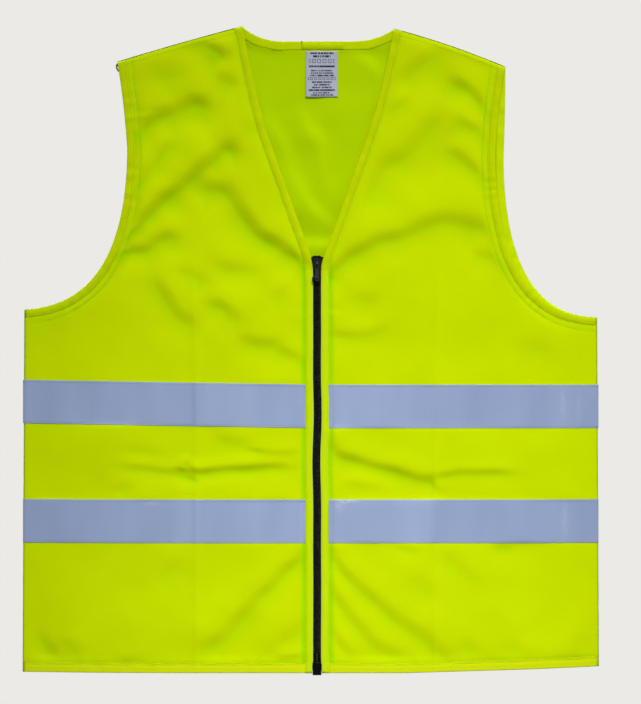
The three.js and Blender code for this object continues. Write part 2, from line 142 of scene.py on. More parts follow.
def lerp_point(a, b, t):
    return (a[0] + (b[0] - a[0]) * t, a[1] + (b[1] - a[1]) * t)


def unit(vectors):
    """The same directions, each one long."""
    return vectors / np.linalg.norm(vectors, axis=-1, keepdims=True)


def bezier(start, control, end, steps):
    """Points along a quadratic curve."""
    t = np.linspace(0, 1, steps + 1)[:, None]
    start, control, end = (np.array(p, float) for p in (start, control, end))
    return (1 - t) ** 2 * start + 2 * t * (1 - t) * control + t**2 * end


def joined(*paths):
    """Paths end to end, without the doubled points."""
    parts = [np.array(paths[0], float)]
    parts += [np.array(p, float)[1:] for p in paths[1:]]
    return np.concatenate(parts)


def lengths_along(path):
    steps = np.linalg.norm(np.diff(path, axis=0), axis=1)
    return np.concatenate([[0], np.cumsum(steps)])


def resampled(path, step):
    """The path with points evenly spaced, at most step apart."""
    path = np.array(path, float)
    along = lengths_along(path)
    wanted = np.linspace(0, along[-1], max(2, int(math.ceil(along[-1] / step)) + 1))
    return np.stack([np.interp(wanted, along, path[:, k]) for k in (0, 1)], axis=1)


def smooth_through(points, step=5.0):
    """A smooth path through the points, by Catmull-Rom curves."""
    p = np.array(points, float)
    p = np.concatenate([[2 * p[0] - p[1]], p, [2 * p[-1] - p[-2]]])
    pieces = []
    for a, b, c, d in zip(p[:-3], p[1:-2], p[2:-1], p[3:]):
        t = np.linspace(0, 1, 9)[:-1, None]
        pieces.append(
            0.5 * (2 * b + (c - a) * t + (2 * a - 5 * b + 4 * c - d) * t**2 + (3 * b - a - 3 * c + d) * t**3)
        )
    return resampled(np.concatenate([*pieces, p[-2:-1]]), step)


def armhole_edge(half, inset=0.0):
    """From the shoulder tip down to the underarm."""

    def shifted(point):
        return (point[0] - half.sign * inset, point[1])

    upper = bezier(half.shoulder_tip, shifted(half.armhole_top), shifted(half.armhole_narrow), 24)
    lower = bezier(shifted(half.armhole_narrow), shifted(half.armhole_turn), half.underarm, 90)
    return joined(upper, lower)


def back_armhole_edge(half):
    return armhole_edge(half, half.back_armhole_inset)


def neck_edge(half):
    """From the neck point down to the top of the zip."""
    upper = bezier(half.neck_point, half.neck_bend, half.neck_knee, 24)
    lower = bezier(half.neck_knee, lerp_point(half.neck_knee, half.neck_foot, 0.5), half.neck_foot, 24)
    return joined(upper, lower)


def shoulder_edge(half):
    """From the neck point out to the shoulder tip, bowed up a little."""
    middle = lerp_point(half.neck_point, half.shoulder_tip, 0.5)
    return bezier(half.neck_point, (middle[0], middle[1] + 2 * half.shoulder_bow), half.shoulder_tip, 32)


def side_edge(half):
    return np.array([half.underarm, half.hem_corner], float)


def back_neck_edge():
    """From the right neck point to the left one."""
    low, corner = -BACK_NECK_DROP, BACK_NECK_CORNER_X
    fall = bezier(RIGHT.neck_point, (-corner - 8, low + 2), (20 - corner, low), 20)
    rise = bezier((corner - 20, low), (corner + 8, low + 1), LEFT.neck_point, 20)
    return joined(fall, rise)


HEM_EDGE = np.array([RIGHT.hem_corner, HEM_LOW_POINT, LEFT.hem_corner], float)


def hem_z(x):
    return np.interp(x, HEM_EDGE[:, 0], HEM_EDGE[:, 1])


def side_x(half, z):
    (x0, z0), (x1, z1) = half.underarm, half.hem_corner
    return x0 + (x1 - x0) * (z - z0) / (z1 - z0)


def shoulder_z(half, x):
    """Height of the shoulder line, drawn on straight past both of its ends."""
    edge = shoulder_edge(half)
    order = np.argsort(edge[:, 0])
    inside = np.interp(x, edge[order, 0], edge[order, 1])
    (x0, z0), (x1, z1) = half.neck_point, half.shoulder_tip
    beyond = (x - x0) * -half.sign
    return np.where(beyond > 0, z0 + (x - x0) * (z1 - z0) / (x1 - x0), inside)


# ---- Folds in the cloth --------------------------------------------------------------------------

# Each fold is (depth, reach at its start, reach at its end, fading ends, points). The points run along
# the fold's shaded line from the wearer's right to left; the cloth steps back across the line on its
# way down, and comes slowly forward again below it.
FRONT_FOLDS = [
    # right chest
    (3.4, 9, 12, "right", [(-138, -12), (-122, -21), (-108, -30), (-94, -42)]),
    (1.7, 10, 10, "both", [(-128, -52), (-104, -58), (-84, -70)]),
    (1.6, 18, 18, "both", [(-208, -76), (-184, -56), (-156, -50), (-120, -58)]),
    (3.7, 12, 15, "right", [(-206, -119), (-182, -102), (-160, -93), (-133, -87), (-98, -84)]),
    (2.2, 8, 12, "right", [(-203, -176), (-186, -152), (-171, -137), (-152, -124)]),
    (4.0, 11, 15, "right", [(-209, -231), (-194, -214), (-175, -196), (-152, -177), (-132, -160),
        (-116, -148), (-98, -139), (-66, -142)]),
    (3.6, 15, 11, "left", [(-154, -186), (-128, -182), (-107, -188), (-95, -201), (-83, -218),
        (-67, -234), (-48, -248), (-28, -262), (-16, -269)]),
    (2.8, 9, 13, "right", [(-216, -258), (-198, -254), (-182, -245), (-146, -232)]),
    (1.3, 10, 12, "both", [(-140, -256), (-110, -273), (-79, -279), (-36, -279)]),
    (2.2, 10, 12, "both", [(-198, -268), (-179, -299), (-168, -318), (-156, -333), (-141, -341),
        (-118, -345)]),
    (1.9, 10, 10, "both", [(-142, -311), (-113, -319), (-98, -330), (-78, -352)]),
    (1.7, 9, 10, "both", [(-98, -351), (-68, -363), (-28, -363)]),
    (1.0, 8, 9, "both", [(-174, -278), (-142, -284), (-114, -302)]),
    (1.4, 9, 7, "left", [(-52, -368), (-28, -377), (-15, -383)]),
    (1.0, 14, 14, "both", [(-92, -96), (-72, -112), (-60, -132)]),
    (0.9, 12, 12, "both", [(-64, -312), (-44, -306), (-26, -309)]),
    # left chest
    (2.4, 13, 13, "both", [(82, -74), (107, -51), (122, -39), (152, -22)]),
    (3.0, 11, 9, "left", [(136, -52), (168, -67), (184, -79), (200, -98)]),
    (1.3, 9, 9, "both", [(72, -105), (95, -89), (114, -80)]),
    (2.6, 16, 16, "both", [(36, -228), (57, -186), (76, -162), (99, -143), (118, -124), (137, -105),
        (158, -84)]),
    (2.2, 11, 9, "left", [(140, -132), (168, -152), (184, -163), (198, -174)]),
    (1.8, 10, 7, "left", [(150, -104), (180, -116), (198, -132)]),
    (2.9, 10, 16, "right", [(15, -278), (30, -268), (50, -256), (69, -246), (92, -239), (115, -231),
        (141, -223), (157, -221), (176, -223), (196, -231), (222, -246)]),
    (1.1, 9, 9, "left", [(170, -256), (198, -262), (218, -270)]),
    (1.3, 8, 10, "right", [(15, -352), (46, -355), (69, -349), (98, -340)]),
    (0.9, 12, 12, "both", [(24, -318), (48, -312), (84, -316)]),
    (0.8, 13, 13, "both", [(212, -372), (250, -366), (290, -370)]),
    # between the bands
    (1.8, 4.5, 6, "right", [(-149, -511), (-138, -512.5), (-117, -511), (-87, -508), (-56, -506),
        (-10, -508)]),
    (1.1, 7, 4.5, "left", [(-250, -504), (-202, -508), (-178, -511), (-160, -513.5), (-148, -518)]),
    (0.8, 9, 9, "both", [(-244, -487), (-196, -488), (-155, -497)]),
    (1.1, 3, 3, "both", [(-158, -507), (-151, -502), (-143, -498)]),
    (1.1, 3, 3, "both", [(-151, -502), (-146, -507), (-140, -513)]),
    (1.0, 9, 9, "both", [(-128, -466), (-95, -477), (-66, -475)]),
    (1.0, 6, 6, "right", [(-60, -489), (-38, -492), (-15, -489)]),
    (0.9, 7, 9, "both", [(-238, -538), (-225, -529), (-205, -526)]),
    (2.2, 8, 7, "right", [(13, -476), (26, -491), (49, -500), (69, -506), (92, -512), (115, -518),
        (134, -520), (150, -517)]),
    (1.1, 4, 5, "both", [(112, -521), (132, -518), (153, -515), (184, -512), (210, -513), (250, -517)]),
    (1.0, 3, 4, "both", [(128, -516), (134, -526), (143, -540)]),
    (1.0, 8, 8, "both", [(20, -518), (48, -529), (92, -534)]),
    # below the bands
    (1.9, 8, 14, "right", [(-14, -602), (-41, -629), (-64, -652), (-87, -676), (-109, -698),
        (-132, -717), (-150, -737)]),
    (0.9, 8, 12, "right", [(-14, -688), (-30, -697), (-47, -709), (-74, -728)]),
    (1.2, 4, 6, "right", [(-13, -724), (-32, -727), (-56, -732)]),
    (1.2, 10, 9, "both", [(-330, -684), (-309, -713), (-284, -735)]),
    (0.8, 9, 9, "both", [(-294, -698), (-270, -730)]),
    (1.0, 12, 12, "both", [(-196, -655), (-178, -630), (-150, -604)]),
    (0.9, 6, 8, "both", [(-232, -736), (-214, -729), (-190, -728)]),
    (1.8, 7, 15, "right", [(14, -602), (34, -629), (61, -656), (88, -675), (107, -689), (126, -706),
        (146, -721), (180, -736)]),
    (1.8, 7, 14, "right", [(14, -641), (30, -667), (49, -690), (69, -709), (92, -721), (128, -736)]),
    (1.4, 6, 10, "right", [(14, -684), (27, -709), (52, -734)]),
    (0.9, 4, 6, "right", [(14, -716), (22, -728), (34, -736)]),
    (1.0, 9, 13, "both", [(126, -592), (160, -617), (184, -634), (210, -656)]),
    (0.7, 9, 12, "both", [(104, -622), (126, -643), (146, -662)]),
    (0.9, 9, 9, "both", [(300, -696), (324, -714)]),
    (0.8, 8, 9, "both", [(170, -698), (190, -730)]),
    (0.8, 8, 9, "both", [(228, -702), (242, -732)]),
    (0.9, 5, 5, "both", [(82, -599), (104, -600), (126, -606)]),
    (0.9, 5, 5, "both", [(196, -600), (214, -598), (232, -601)]),
]
BACK_FOLDS = [
    # seen through the neck from the front
    (1.6, 12, 12, "both", [(-56, -80), (-36, -140), (-22, -176), (0, -216)]),
    (1.2, 10, 10, "both", [(-24, -82), (-10, -108), (4, -140)]),
    (1.3, 9, 9, "both", [(-8, -92), (6, -136), (10, -166), (18, -206)]),
    (1.4, 9, 9, "both", [(40, -22), (64, -43), (80, -62)]),
    (1.6, 10, 10, "both", [(-20, -182), (6, -218), (30, -240)]),
    (1.8, 10, 10, "both", [(-80, -244), (-20, -247), (20, -249), (80, -242)]),
    # the rest of the back
    (2.3, 15, 17, "right", [(-208, -98), (-176, -84), (-142, -80), (-88, -76)]),
    (2.3, 17, 14, "left", [(84, -70), (140, -86), (172, -94), (208, -116)]),
    (2.6, 14, 18, "right", [(-210, -220), (-176, -190), (-140, -170), (-76, -146)]),
    (2.4, 17, 14, "left", [(72, -150), (130, -176), (166, -196), (206, -228)]),
    (1.9, 15, 15, "both", [(-200, -292), (-130, -318), (-70, -330), (10, -322)]),
    (1.9, 15, 15, "both", [(0, -360), (70, -340), (130, -330), (210, -340)]),
    (1.2, 16, 16, "both", [(-60, -388), (-10, -380), (50, -392)]),
    (1.9, 8, 9, "both", [(-280, -504), (-180, -514), (-100, -510), (-10, -518)]),
    (1.7, 9, 8, "both", [(10, -502), (90, -514), (170, -516), (270, -508)]),
    (1.4, 3.5, 3.5, "both", [(-66, -522), (-54, -508), (-48, -496)]),
    (1.9, 14, 16, "both", [(-180, -734), (-120, -690), (-70, -650), (-20, -604)]),
    (1.9, 16, 14, "both", [(50, -602), (110, -650), (160, -690), (210, -734)]),
    (1.1, 14, 14, "both", [(-40, -736), (0, -700), (30, -650)]),
    (0.9, 12, 12, "both", [(-300, -640), (-270, -690), (-250, -732)]),
    (0.9, 12, 12, "both", [(240, -620), (266, -670), (286, -726)]),
]

GRID_STEP = 1.0
GRID_X = np.arange(-366, 352, GRID_STEP)
GRID_Z = np.arange(-772, 22, GRID_STEP)
FOLD_STRENGTH = 1.3
END_FADE = 0.4
LONGEST_FADE = 42
BULGE_AT = -0.9
BULGE_ABOVE, BULGE_BELOW = 2.0, 1.15
DIP_AT = 0.6
DIP_ABOVE, DIP_BELOW = 0.8, 2.3
BULGE_SHARE, DIP_SHARE = 0.7, 0.9
# A fold is this much wider where it has faded out.
FADED_SPREAD = 0.35
UNEVENNESS, UNEVENNESS_SEED, UNEVENNESS_WAVE = 0.09, 300, 46
SWAY, SWAY_SEED, SWAY_WAVE = 0.12, 400, 60
PUCKER_FADE = 14
# How many times its reach a fold or a pucker is worked out to.
FOLD_MARGIN, PUCKER_MARGIN = 4.5, 3
PUCKER_PATH_STEP, TRIM_PATH_STEP = 8, 6


def grid_round(path, margin):
    """The part of the grid that lies within a margin of a path."""
    (low_x, low_z), (high_x, high_z) = path.min(0) - margin, path.max(0) + margin
    return np.ix_((GRID_Z > low_z) & (GRID_Z < high_z), (GRID_X > low_x) & (GRID_X < high_x))


def blurred(values, reach):
    """Gaussian blur of a grid. reach is in mm."""
    sigma = reach / GRID_STEP
    half = int(math.ceil(3 * sigma))
    kernel = np.exp(-0.5 * (np.arange(-half, half + 1) / sigma) ** 2)
    kernel /= kernel.sum()
    for axis in (0, 1):
        padding = [(half, half) if k == axis else (0, 0) for k in (0, 1)]
        padded = np.pad(values, padding, mode="edge")
        values = np.apply_along_axis(lambda line: np.convolve(line, kernel, "valid"), axis, padded)
    return values


def nearest_on(path, x, z):
    """Signed distance to a path, how far along the path that is, and the path's length.

    The distance is positive on the left of the way the path runs, seen with x to the right and z up.
    """
    best = np.full(x.shape, 1e9)
    signed = np.zeros(x.shape)
    where = np.zeros(x.shape)
    along = lengths_along(path)
    for (ax, az), (bx, bz), start in zip(path[:-1], path[1:], along[:-1]):
        dx, dz = bx - ax, bz - az
        length = math.hypot(dx, dz)
        t = np.clip(((x - ax) * dx + (z - az) * dz) / length**2, 0, 1)
        off_x, off_z = x - ax - t * dx, z - az - t * dz
        distance = np.hypot(off_x, off_z)
        side = (dx * off_z - dz * off_x) / length
        nearer = distance < best
        best = np.where(nearer, distance, best)
        signed = np.where(nearer, np.where(side >= 0, distance, -distance), signed)
        where = np.where(nearer, start + t * length, where)
    return signed, where, along[-1]


def smoothstep(t):
    t = np.clip(t, 0, 1)
    return t * t * (3 - 2 * t)


def lopsided(s, centre, above, below):
    """A bell curve with a different reach on each side."""
    return np.exp(-(((s - centre) / np.where(s < centre, above, below)) ** 2))


LINE_WAVES = 5
LINE_WAVE_HEIGHT = 2.2


def line_noise(seed, wavelength):
    """A smooth random function of one length."""
    rng = np.random.default_rng(seed)
    waves = [(wavelength * rng.uniform(0.6, 1.9), rng.uniform(0, 2 * math.pi)) for _ in range(LINE_WAVES)]

    def value(s):
        return sum(np.sin(2 * math.pi * s / length + phase) for length, phase in waves) / LINE_WAVE_HEIGHT

    return value


GROUND_WAVES = 26


def ground_noise(seed, shortest, longest):
    """Smooth random ground made of plane waves, about 1 high."""
    rng = np.random.default_rng(seed)
    total = np.zeros((len(GRID_Z), len(GRID_X)))
    x, z = np.meshgrid(GRID_X, GRID_Z)
    for _ in range(GROUND_WAVES):
        wavelength = rng.uniform(shortest, longest)
        angle, phase = rng.uniform(0, math.pi), rng.uniform(0, 2 * math.pi)
        share = wavelength / longest
        turn = 2 * math.pi / wavelength
        total += share * np.sin((x * math.cos(angle) + z * math.sin(angle)) * turn + phase)
    return total / math.sqrt(GROUND_WAVES / 3)


def fold_heights(folds, x, z):
    """Height added to the cloth by the folds, on the grid."""
    total = np.zeros(x.shape)
    for index, (depth, reach_start, reach_end, ends, points) in enumerate(folds):
        path = smooth_through(points)
        window = grid_round(path, FOLD_MARGIN * max(reach_start, reach_end))
        signed, where, length = nearest_on(path, x[window], z[window])
        unevenness = line_noise(UNEVENNESS_SEED + index, UNEVENNESS_WAVE)(where)
        sway = line_noise(SWAY_SEED + index, SWAY_WAVE)(where)
        fade = np.ones(where.shape)
        fade_length = min(END_FADE * length, LONGEST_FADE)
        if ends in ("both", "left"):
            fade = fade * smoothstep(where / fade_length)
        if ends in ("both", "right"):
            fade = fade * smoothstep((length - where) / fade_length)
        share = where / length
        reach = (reach_start + (reach_end - reach_start) * share) * (1 + FADED_SPREAD - FADED_SPREAD * fade)
        rightwards = 1 if path[-1, 0] > path[0, 0] else -1
        down = (-rightwards * signed + SWAY * reach * sway) / reach
        shape = BULGE_SHARE * lopsided(down, BULGE_AT, BULGE_ABOVE, BULGE_BELOW)
        shape -= DIP_SHARE * lopsided(down, DIP_AT, DIP_ABOVE, DIP_BELOW)
        total[window] += FOLD_STRENGTH * depth * (1 + UNEVENNESS * unevenness) * fade * shape
    return total


def puckers(path, reach, height, wavelength, seed, x, z):
    """Short ripples across a sewn edge, dying away from it."""
    path = resampled(path, PUCKER_PATH_STEP)
    window = grid_round(path, PUCKER_MARGIN * reach)
    signed, where, length = nearest_on(path, x[window], z[window])
    ripple, strength = line_noise(seed, wavelength), line_noise(seed + 1, 9 * wavelength)
    total = np.zeros(x.shape)
    ends = smoothstep(where / PUCKER_FADE) * smoothstep((length - where) / PUCKER_FADE)
    weight = ends * np.exp(-((signed / reach) ** 2)) * np.clip(0.6 + 0.5 * strength(where), 0.1, 1.4)
    total[window] = height * ripple(where) * weight
    return total


def distance_to(path, x, z, most):
    """Distance from every grid place to a path, or the most that is asked for."""
    path = resampled(path, TRIM_PATH_STEP)
    window = grid_round(path, most)
    total = np.full(x.shape, float(most))
    signed, _, _ = nearest_on(path, x[window], z[window])
    total[window] = np.minimum(np.abs(signed), most)
    return total


ZIP_STRAIGHT_ABOVE, ZIP_STRAIGHT_BELOW, ZIP_STRAIGHT_EASE = -300, -735, 60
ZIP_BEND_Z = -475
ZIP_BEND, ZIP_BEND_HALF_WAVE, ZIP_BEND_REACH = 0.7, 56, 90
ZIP_RIPPLE, ZIP_RIPPLE_LENGTH = 0.2, 37


def zip_wave(z):
    """How far the closed zip wanders sideways as it hangs."""
    calm = smoothstep((ZIP_STRAIGHT_ABOVE - z) / ZIP_STRAIGHT_EASE)
    calm *= smoothstep((z - ZIP_STRAIGHT_BELOW) / ZIP_STRAIGHT_EASE)
    away = z - ZIP_BEND_Z
    bend = ZIP_BEND * np.sin(away * math.pi / ZIP_BEND_HALF_WAVE) * np.exp(-((away / ZIP_BEND_REACH) ** 2))
    return calm * (bend + ZIP_RIPPLE * np.sin(z / ZIP_RIPPLE_LENGTH))


VALLEY_REACH = 9
WIDE_GROUND, FINE_GROUND = (70, 230), (22, 60)
FINE_GROUND_SHARE = 0.08
# The bands are stiff, so the cloth under them lies flatter. It eases into the folds beside them.
BAND_STIFFNESS = 0.8
BAND_EASE = 8
# The share of a fold that is left at a trim, the share that comes back beside it, and over what distance.
TRIM_KEEPS, TRIM_GIVES_BACK, TRIM_EASE = 0.15, 0.85, 13
TRIM_LOOK = 60
# A pressed crease runs down each half, from when the vest was folded. It starts at a height, leans over
# lower down, stands up as a ridge and drops on its far side.
CREASE_TOP, CREASE_TOP_EASE = -262, 40
CREASE_LEAN, CREASE_LEAN_FROM, CREASE_LEAN_EASE = 4, -420, 150
CREASE_WIDTH = 2.3
CREASE_DROP, CREASE_EASE = 0.9, 12
# The cloth lies flat beside the zip.
BESIDE_ZIP_FLAT, BESIDE_ZIP_EASE, BESIDE_ZIP_TOP_EASE, BESIDE_ZIP_SHARE = 10, 15, 14, 0.9
LAST_BLUR = 1.3
# The cloth never comes nearer to the garment's middle than this, and eases towards it.
LEAST_HALF_DEPTH = EDGE_HALF_DEPTH + 0.5
LEAST_SHARPNESS = 1.6
SHOULDER_CALM, SIDE_CALM = 13, 30
FLANK_HALF_DEPTH = 1.6
# How much painted shade darkens the valleys and stitched grooves in the cloth's colour, and the most it may.
VALLEY_SHADE, MOST_VALLEY_SHADE = 0.30, 0.6
GROOVE_SHADE, MOST_GROOVE_SHADE = 0.8, 0.95
NORMAL_STEP = 0.8
STEEPEST = 3


class Face:
    """The front or back of the garment: how far the cloth's outer face stands out from the middle.

    trims is a list of (path, width of the trim sewn along it), where the folds die away and the stitches
    draw the cloth in. pucker_edges is a list of (path, reach, height, wavelength).
    """

    def __init__(self, outward, folds, seed, ground, trims, pucker_edges):
        self.outward = outward
        x, z = np.meshgrid(GRID_X, GRID_Z)
        relief = fold_heights(folds, x, z)
        valleys = blurred(relief, VALLEY_REACH) - relief
        wide = ground * ground_noise(seed, *WIDE_GROUND)
        relief += wide + FINE_GROUND_SHARE * ground * ground_noise(seed + 1, *FINE_GROUND)
        for half in HALVES:
            own = (x * half.sign >= 0).astype(float)
            for index, top in enumerate(BAND_TOPS.values()):
                rise = band_rise(half, index, x)
                under = smoothstep((top + rise + BAND_EASE / 2 - z) / BAND_EASE)
                under *= smoothstep((z - top - rise + BAND_WIDTH + BAND_EASE / 2) / BAND_EASE)
                relief *= 1 - BAND_STIFFNESS * under * own
        grooves = np.zeros(x.shape)
        for path, width in trims:
            away = distance_to(path, x, z, TRIM_LOOK)
            relief *= TRIM_KEEPS + TRIM_GIVES_BACK * smoothstep((away - width + 3) / TRIM_EASE)
            grooves -= TRIM_GROOVE * np.exp(-(((away - width - 0.4) / TRIM_GROOVE_WIDTH) ** 2))
        for path, reach, height, wavelength in pucker_edges:
            seed += 7
            relief += puckers(path, reach, height, wavelength, seed, x, z)
        for half in HALVES:
            own = (x * half.sign >= 0).astype(float)
            lean = CREASE_LEAN * smoothstep((z - CREASE_LEAN_FROM) / CREASE_LEAN_EASE) * half.sign
            side = half.sign * (x - half.crease_x - lean)
            below = smoothstep((CREASE_TOP - z) / CREASE_TOP_EASE)
            ridge = half.crease_height * np.exp(-((side / CREASE_WIDTH) ** 2))
            ridge -= CREASE_DROP * half.crease_height * (1 - np.exp(-np.maximum(side, 0) / CREASE_EASE))
            relief += own * below * ridge
        if outward < 0:
            beside = np.abs(x - zip_wave(z)) - PLACKET_GROOVE_X
            deep = smoothstep((ZIP_TOP - 2 - z) / BESIDE_ZIP_TOP_EASE)
            grooves -= PLACKET_GROOVE * deep * np.exp(-((beside / PLACKET_GROOVE_WIDTH) ** 2))
            near_zip = 1 - smoothstep((np.abs(x) - BESIDE_ZIP_FLAT) / BESIDE_ZIP_EASE)
            relief *= 1 - deep * near_zip * BESIDE_ZIP_SHARE
        quiet = self.quiet(x, z)
        relief = blurred(relief, LAST_BLUR) * quiet
        over = self.wedge(x, z) + relief + grooves - LEAST_HALF_DEPTH
        self.heights = LEAST_HALF_DEPTH + np.logaddexp(0, over * LEAST_SHARPNESS) / LEAST_SHARPNESS
        # painted shade: the cloth's colour is darker and greener in the valleys between folds and in the
        # stitched grooves
        self.hollow = np.clip(VALLEY_SHADE * valleys * quiet, 0, MOST_VALLEY_SHADE)
        self.hollow += np.clip(-GROOVE_SHADE * grooves, 0, MOST_GROOVE_SHADE)

    def wedge(self, x, z):
        """Half the garment's depth, as it would be without folds."""
        middle = NECK_HALF_DEPTH - DEPTH_SLOPE * z
        total = np.zeros(x.shape)
        for half in HALVES:
            reach = abs(half.hem_corner[0]) - half.flank_start
            out = np.clip((x * half.sign - half.flank_start) / reach, 0, 1.1)
            depth = FLANK_HALF_DEPTH + (middle - FLANK_HALF_DEPTH) * (1 - out**half.flank_power)
            total = np.where(x * half.sign >= 0, depth, total)
        return total

    def quiet(self, x, z):
        """Folds die away towards the shoulder and side seams."""
        from_shoulder = smoothstep(self.from_shoulder(x, z) / SHOULDER_CALM)
        return from_shoulder * smoothstep(self.from_side(x, z) / SIDE_CALM)

    def from_shoulder(self, x, z):
        return np.where(x < 0, shoulder_z(RIGHT, x), shoulder_z(LEFT, x)) - z

    def from_side(self, x, z):
        return np.where(x < 0, x - side_x(RIGHT, z), side_x(LEFT, z) - x)

    def sample(self, grid, x, z):
        """The value of a grid at any places, between its points too."""
        column = np.clip((x - GRID_X[0]) / GRID_STEP, 0, len(GRID_X) - 1.001)
        row = np.clip((z - GRID_Z[0]) / GRID_STEP, 0, len(GRID_Z) - 1.001)
        c, r = column.astype(int), row.astype(int)
        u, v = column - c, row - r
        lower = grid[r, c] * (1 - u) + grid[r, c + 1] * u
        upper = grid[r + 1, c] * (1 - u) + grid[r + 1, c + 1] * u
        return lower * (1 - v) + upper * v

    def height(self, x, z):
        """How far the face stands out from the middle. It closes in at the shoulder and side seams."""
        top = np.clip(self.from_shoulder(x, z) / SHOULDER_ROUNDING, 0, 1)
        side = np.clip(self.from_side(x, z) / SIDE_ROUNDING, 0, 1)
        closing = np.sqrt((1 - (1 - top) ** 2) * (1 - (1 - side) ** 2))
        return EDGE_HALF_DEPTH + (self.sample(self.heights, x, z) - EDGE_HALF_DEPTH) * closing

    def normal(self, x, z):
        step = NORMAL_STEP
        slope_x = (self.height(x + step, z) - self.height(x - step, z)) / (2 * step)
        slope_z = (self.height(x, z + step) - self.height(x, z - step)) / (2 * step)
        slope_x, slope_z = (np.clip(slope, -STEEPEST, STEEPEST) for slope in (slope_x, slope_z))
        return unit(np.stack([-slope_x, np.full(x.shape, float(self.outward)), -slope_z], axis=-1))

    def point(self, x, z, lift=0.0):
        """Points on the face, or lifted off it along its normal."""
        x, z = np.broadcast_arrays(np.asarray(x, float), np.asarray(z, float))
        base = np.stack([x, self.outward * self.height(x, z), z], axis=-1)
        return base + self.normal(x, z) * np.asarray(lift, float)[..., None]


def band_rise(half, index, x):
    """The right end of the upper band is a little high."""
    return half.band_rise * np.abs(x) / abs(half.hem_corner[0]) if index == 0 else 0 * x


def zip_edge(half):
    return [(half.sign * PANEL_INNER_X, ZIP_TOP), (half.sign * PANEL_INNER_X, hem_z(0.0))]


hem_top = HEM_EDGE + (0, HEM_WIDTH)
# each half of the front takes its own share of the folds' depths
front_folds = [
    (depth * (RIGHT if points[0][0] < 0 else LEFT).fold_share, *rest, points)
    for depth, *rest, points in FRONT_FOLDS
]
front = Face(
    -1,
    front_folds,
    seed=11,
    ground=0.9,
    trims=[(armhole_edge(half), ARMHOLE_BINDING_WIDTH) for half in HALVES]
    + [(armhole_edge(half), SECOND_STITCH_LINE) for half in HALVES]
    + [(neck_edge(half), NECK_BINDING_WIDTH) for half in HALVES]
    + [(HEM_EDGE, HEM_WIDTH)],
    pucker_edges=[(armhole_edge(half), 15, 0.42, 12) for half in HALVES]
    + [(armhole_edge(RIGHT)[2:20], 30, 0.8, 9)]
    + [(neck_edge(half), 12, 0.2, 13) for half in HALVES]
    + [(zip_edge(half), 11, 0.3, 16) for half in HALVES]
    + [(hem_top, 8, 0.3, 19)],
)
back = Face(
    1,
    BACK_FOLDS,
    seed=47,
    ground=1.2,
    trims=[(back_armhole_edge(half), ARMHOLE_BINDING_WIDTH) for half in HALVES]
    + [(back_armhole_edge(half), SECOND_STITCH_LINE) for half in HALVES]
    + [(back_neck_edge(), BACK_NECK_BINDING_WIDTH)]
    + [(HEM_EDGE, HEM_WIDTH)],
    pucker_edges=[(back_armhole_edge(half), 15, 0.26, 14) for half in HALVES]
    + [(back_neck_edge(), 10, 0.25, 13)]
    + [(hem_top, 8, 0.35, 19)],
)

# ---- Meshes --------------------------------------------------------------------------------------


def make_object(name, points, faces, uvs=None, shade=None, smooth=True, tidy=True):
    """A mesh object from points in mm. uvs and shade (painted shade for the colour) have one entry for each
    point.
    """
    mesh = bpy.data.meshes.new(name)
    mesh.from_pydata((np.asarray(points) * MM).tolist(), [], [tuple(map(int, f)) for f in faces])
    if tidy:
        made = bmesh.new()
        made.from_mesh(mesh)
        bmesh.ops.recalc_face_normals(made, faces=made.faces)
        made.to_mesh(mesh)
        made.free()
    corners = np.zeros(len(mesh.loops), np.int32)
    mesh.loops.foreach_get("vertex_index", corners)
    if uvs is not None:
        layer = mesh.uv_layers.new(name="cloth")
        layer.data.foreach_set("uv", (np.asarray(uvs) * MM)[corners].astype(np.float32).ravel())
    if shade is not None:
        layer = mesh.attributes.new("hollow", "FLOAT", "POINT")
        layer.data.foreach_set("value", np.asarray(shade, np.float32))
    mesh.polygons.foreach_set("use_smooth", [smooth] * len(mesh.polygons))
    mesh.update()
    obj = bpy.data.objects.new(name, mesh)
    bpy.context.scene.collection.objects.link(obj)
    return obj


def grid_faces(rows, columns, first, flip):
    r, c = np.meshgrid(np.arange(rows - 1), np.arange(columns - 1), indexing="ij")
    a = (first + r * columns + c).ravel()
    quads = np.stack([a, a + 1, a + columns + 1, a + columns], axis=1)
    return quads[:, ::-1] if flip else quads


def round_rim(grid):
    """The values along the rim of a grid, once round."""
    return np.concatenate([grid[0, :], grid[1:, -1], grid[-1, -2::-1], grid[-2:0:-1, 0]])


def two_sided(rows, columns, flip):
    """Faces of a sheet with thickness: its outer side, its inner side and the cut edge round them."""
    count = rows * columns
    rim = round_rim(np.arange(count).reshape(rows, columns))
    sides = [*grid_faces(rows, columns, 0, flip), *grid_faces(rows, columns, count, not flip)]
    return sides + [(a, b, b + count, a + count) for a, b in zip(rim, np.roll(rim, -1))]


def tube_faces(rings, sides, turned=False):
    """Faces along rings of points, then a cap for each end. turned has the caps look the other way."""
    index = np.arange(rings * sides).reshape(rings, sides)
    following = np.roll(index, -1, axis=1)
    quads = np.stack([index[:-1], following[:-1], following[1:], index[1:]], axis=-1).reshape(-1, 4)
    caps = [index[0], index[-1][::-1]] if turned else [index[0][::-1], index[-1]]
    return [face.tolist() for face in [*quads, *caps]]


def repeated(faces, count, size):
    """The faces of one small part, for each of count parts that have size points."""
    return [[part * size + corner for corner in face] for part in range(count) for face in faces]


def circle(count):
    return np.arange(count) * 2 * math.pi / count


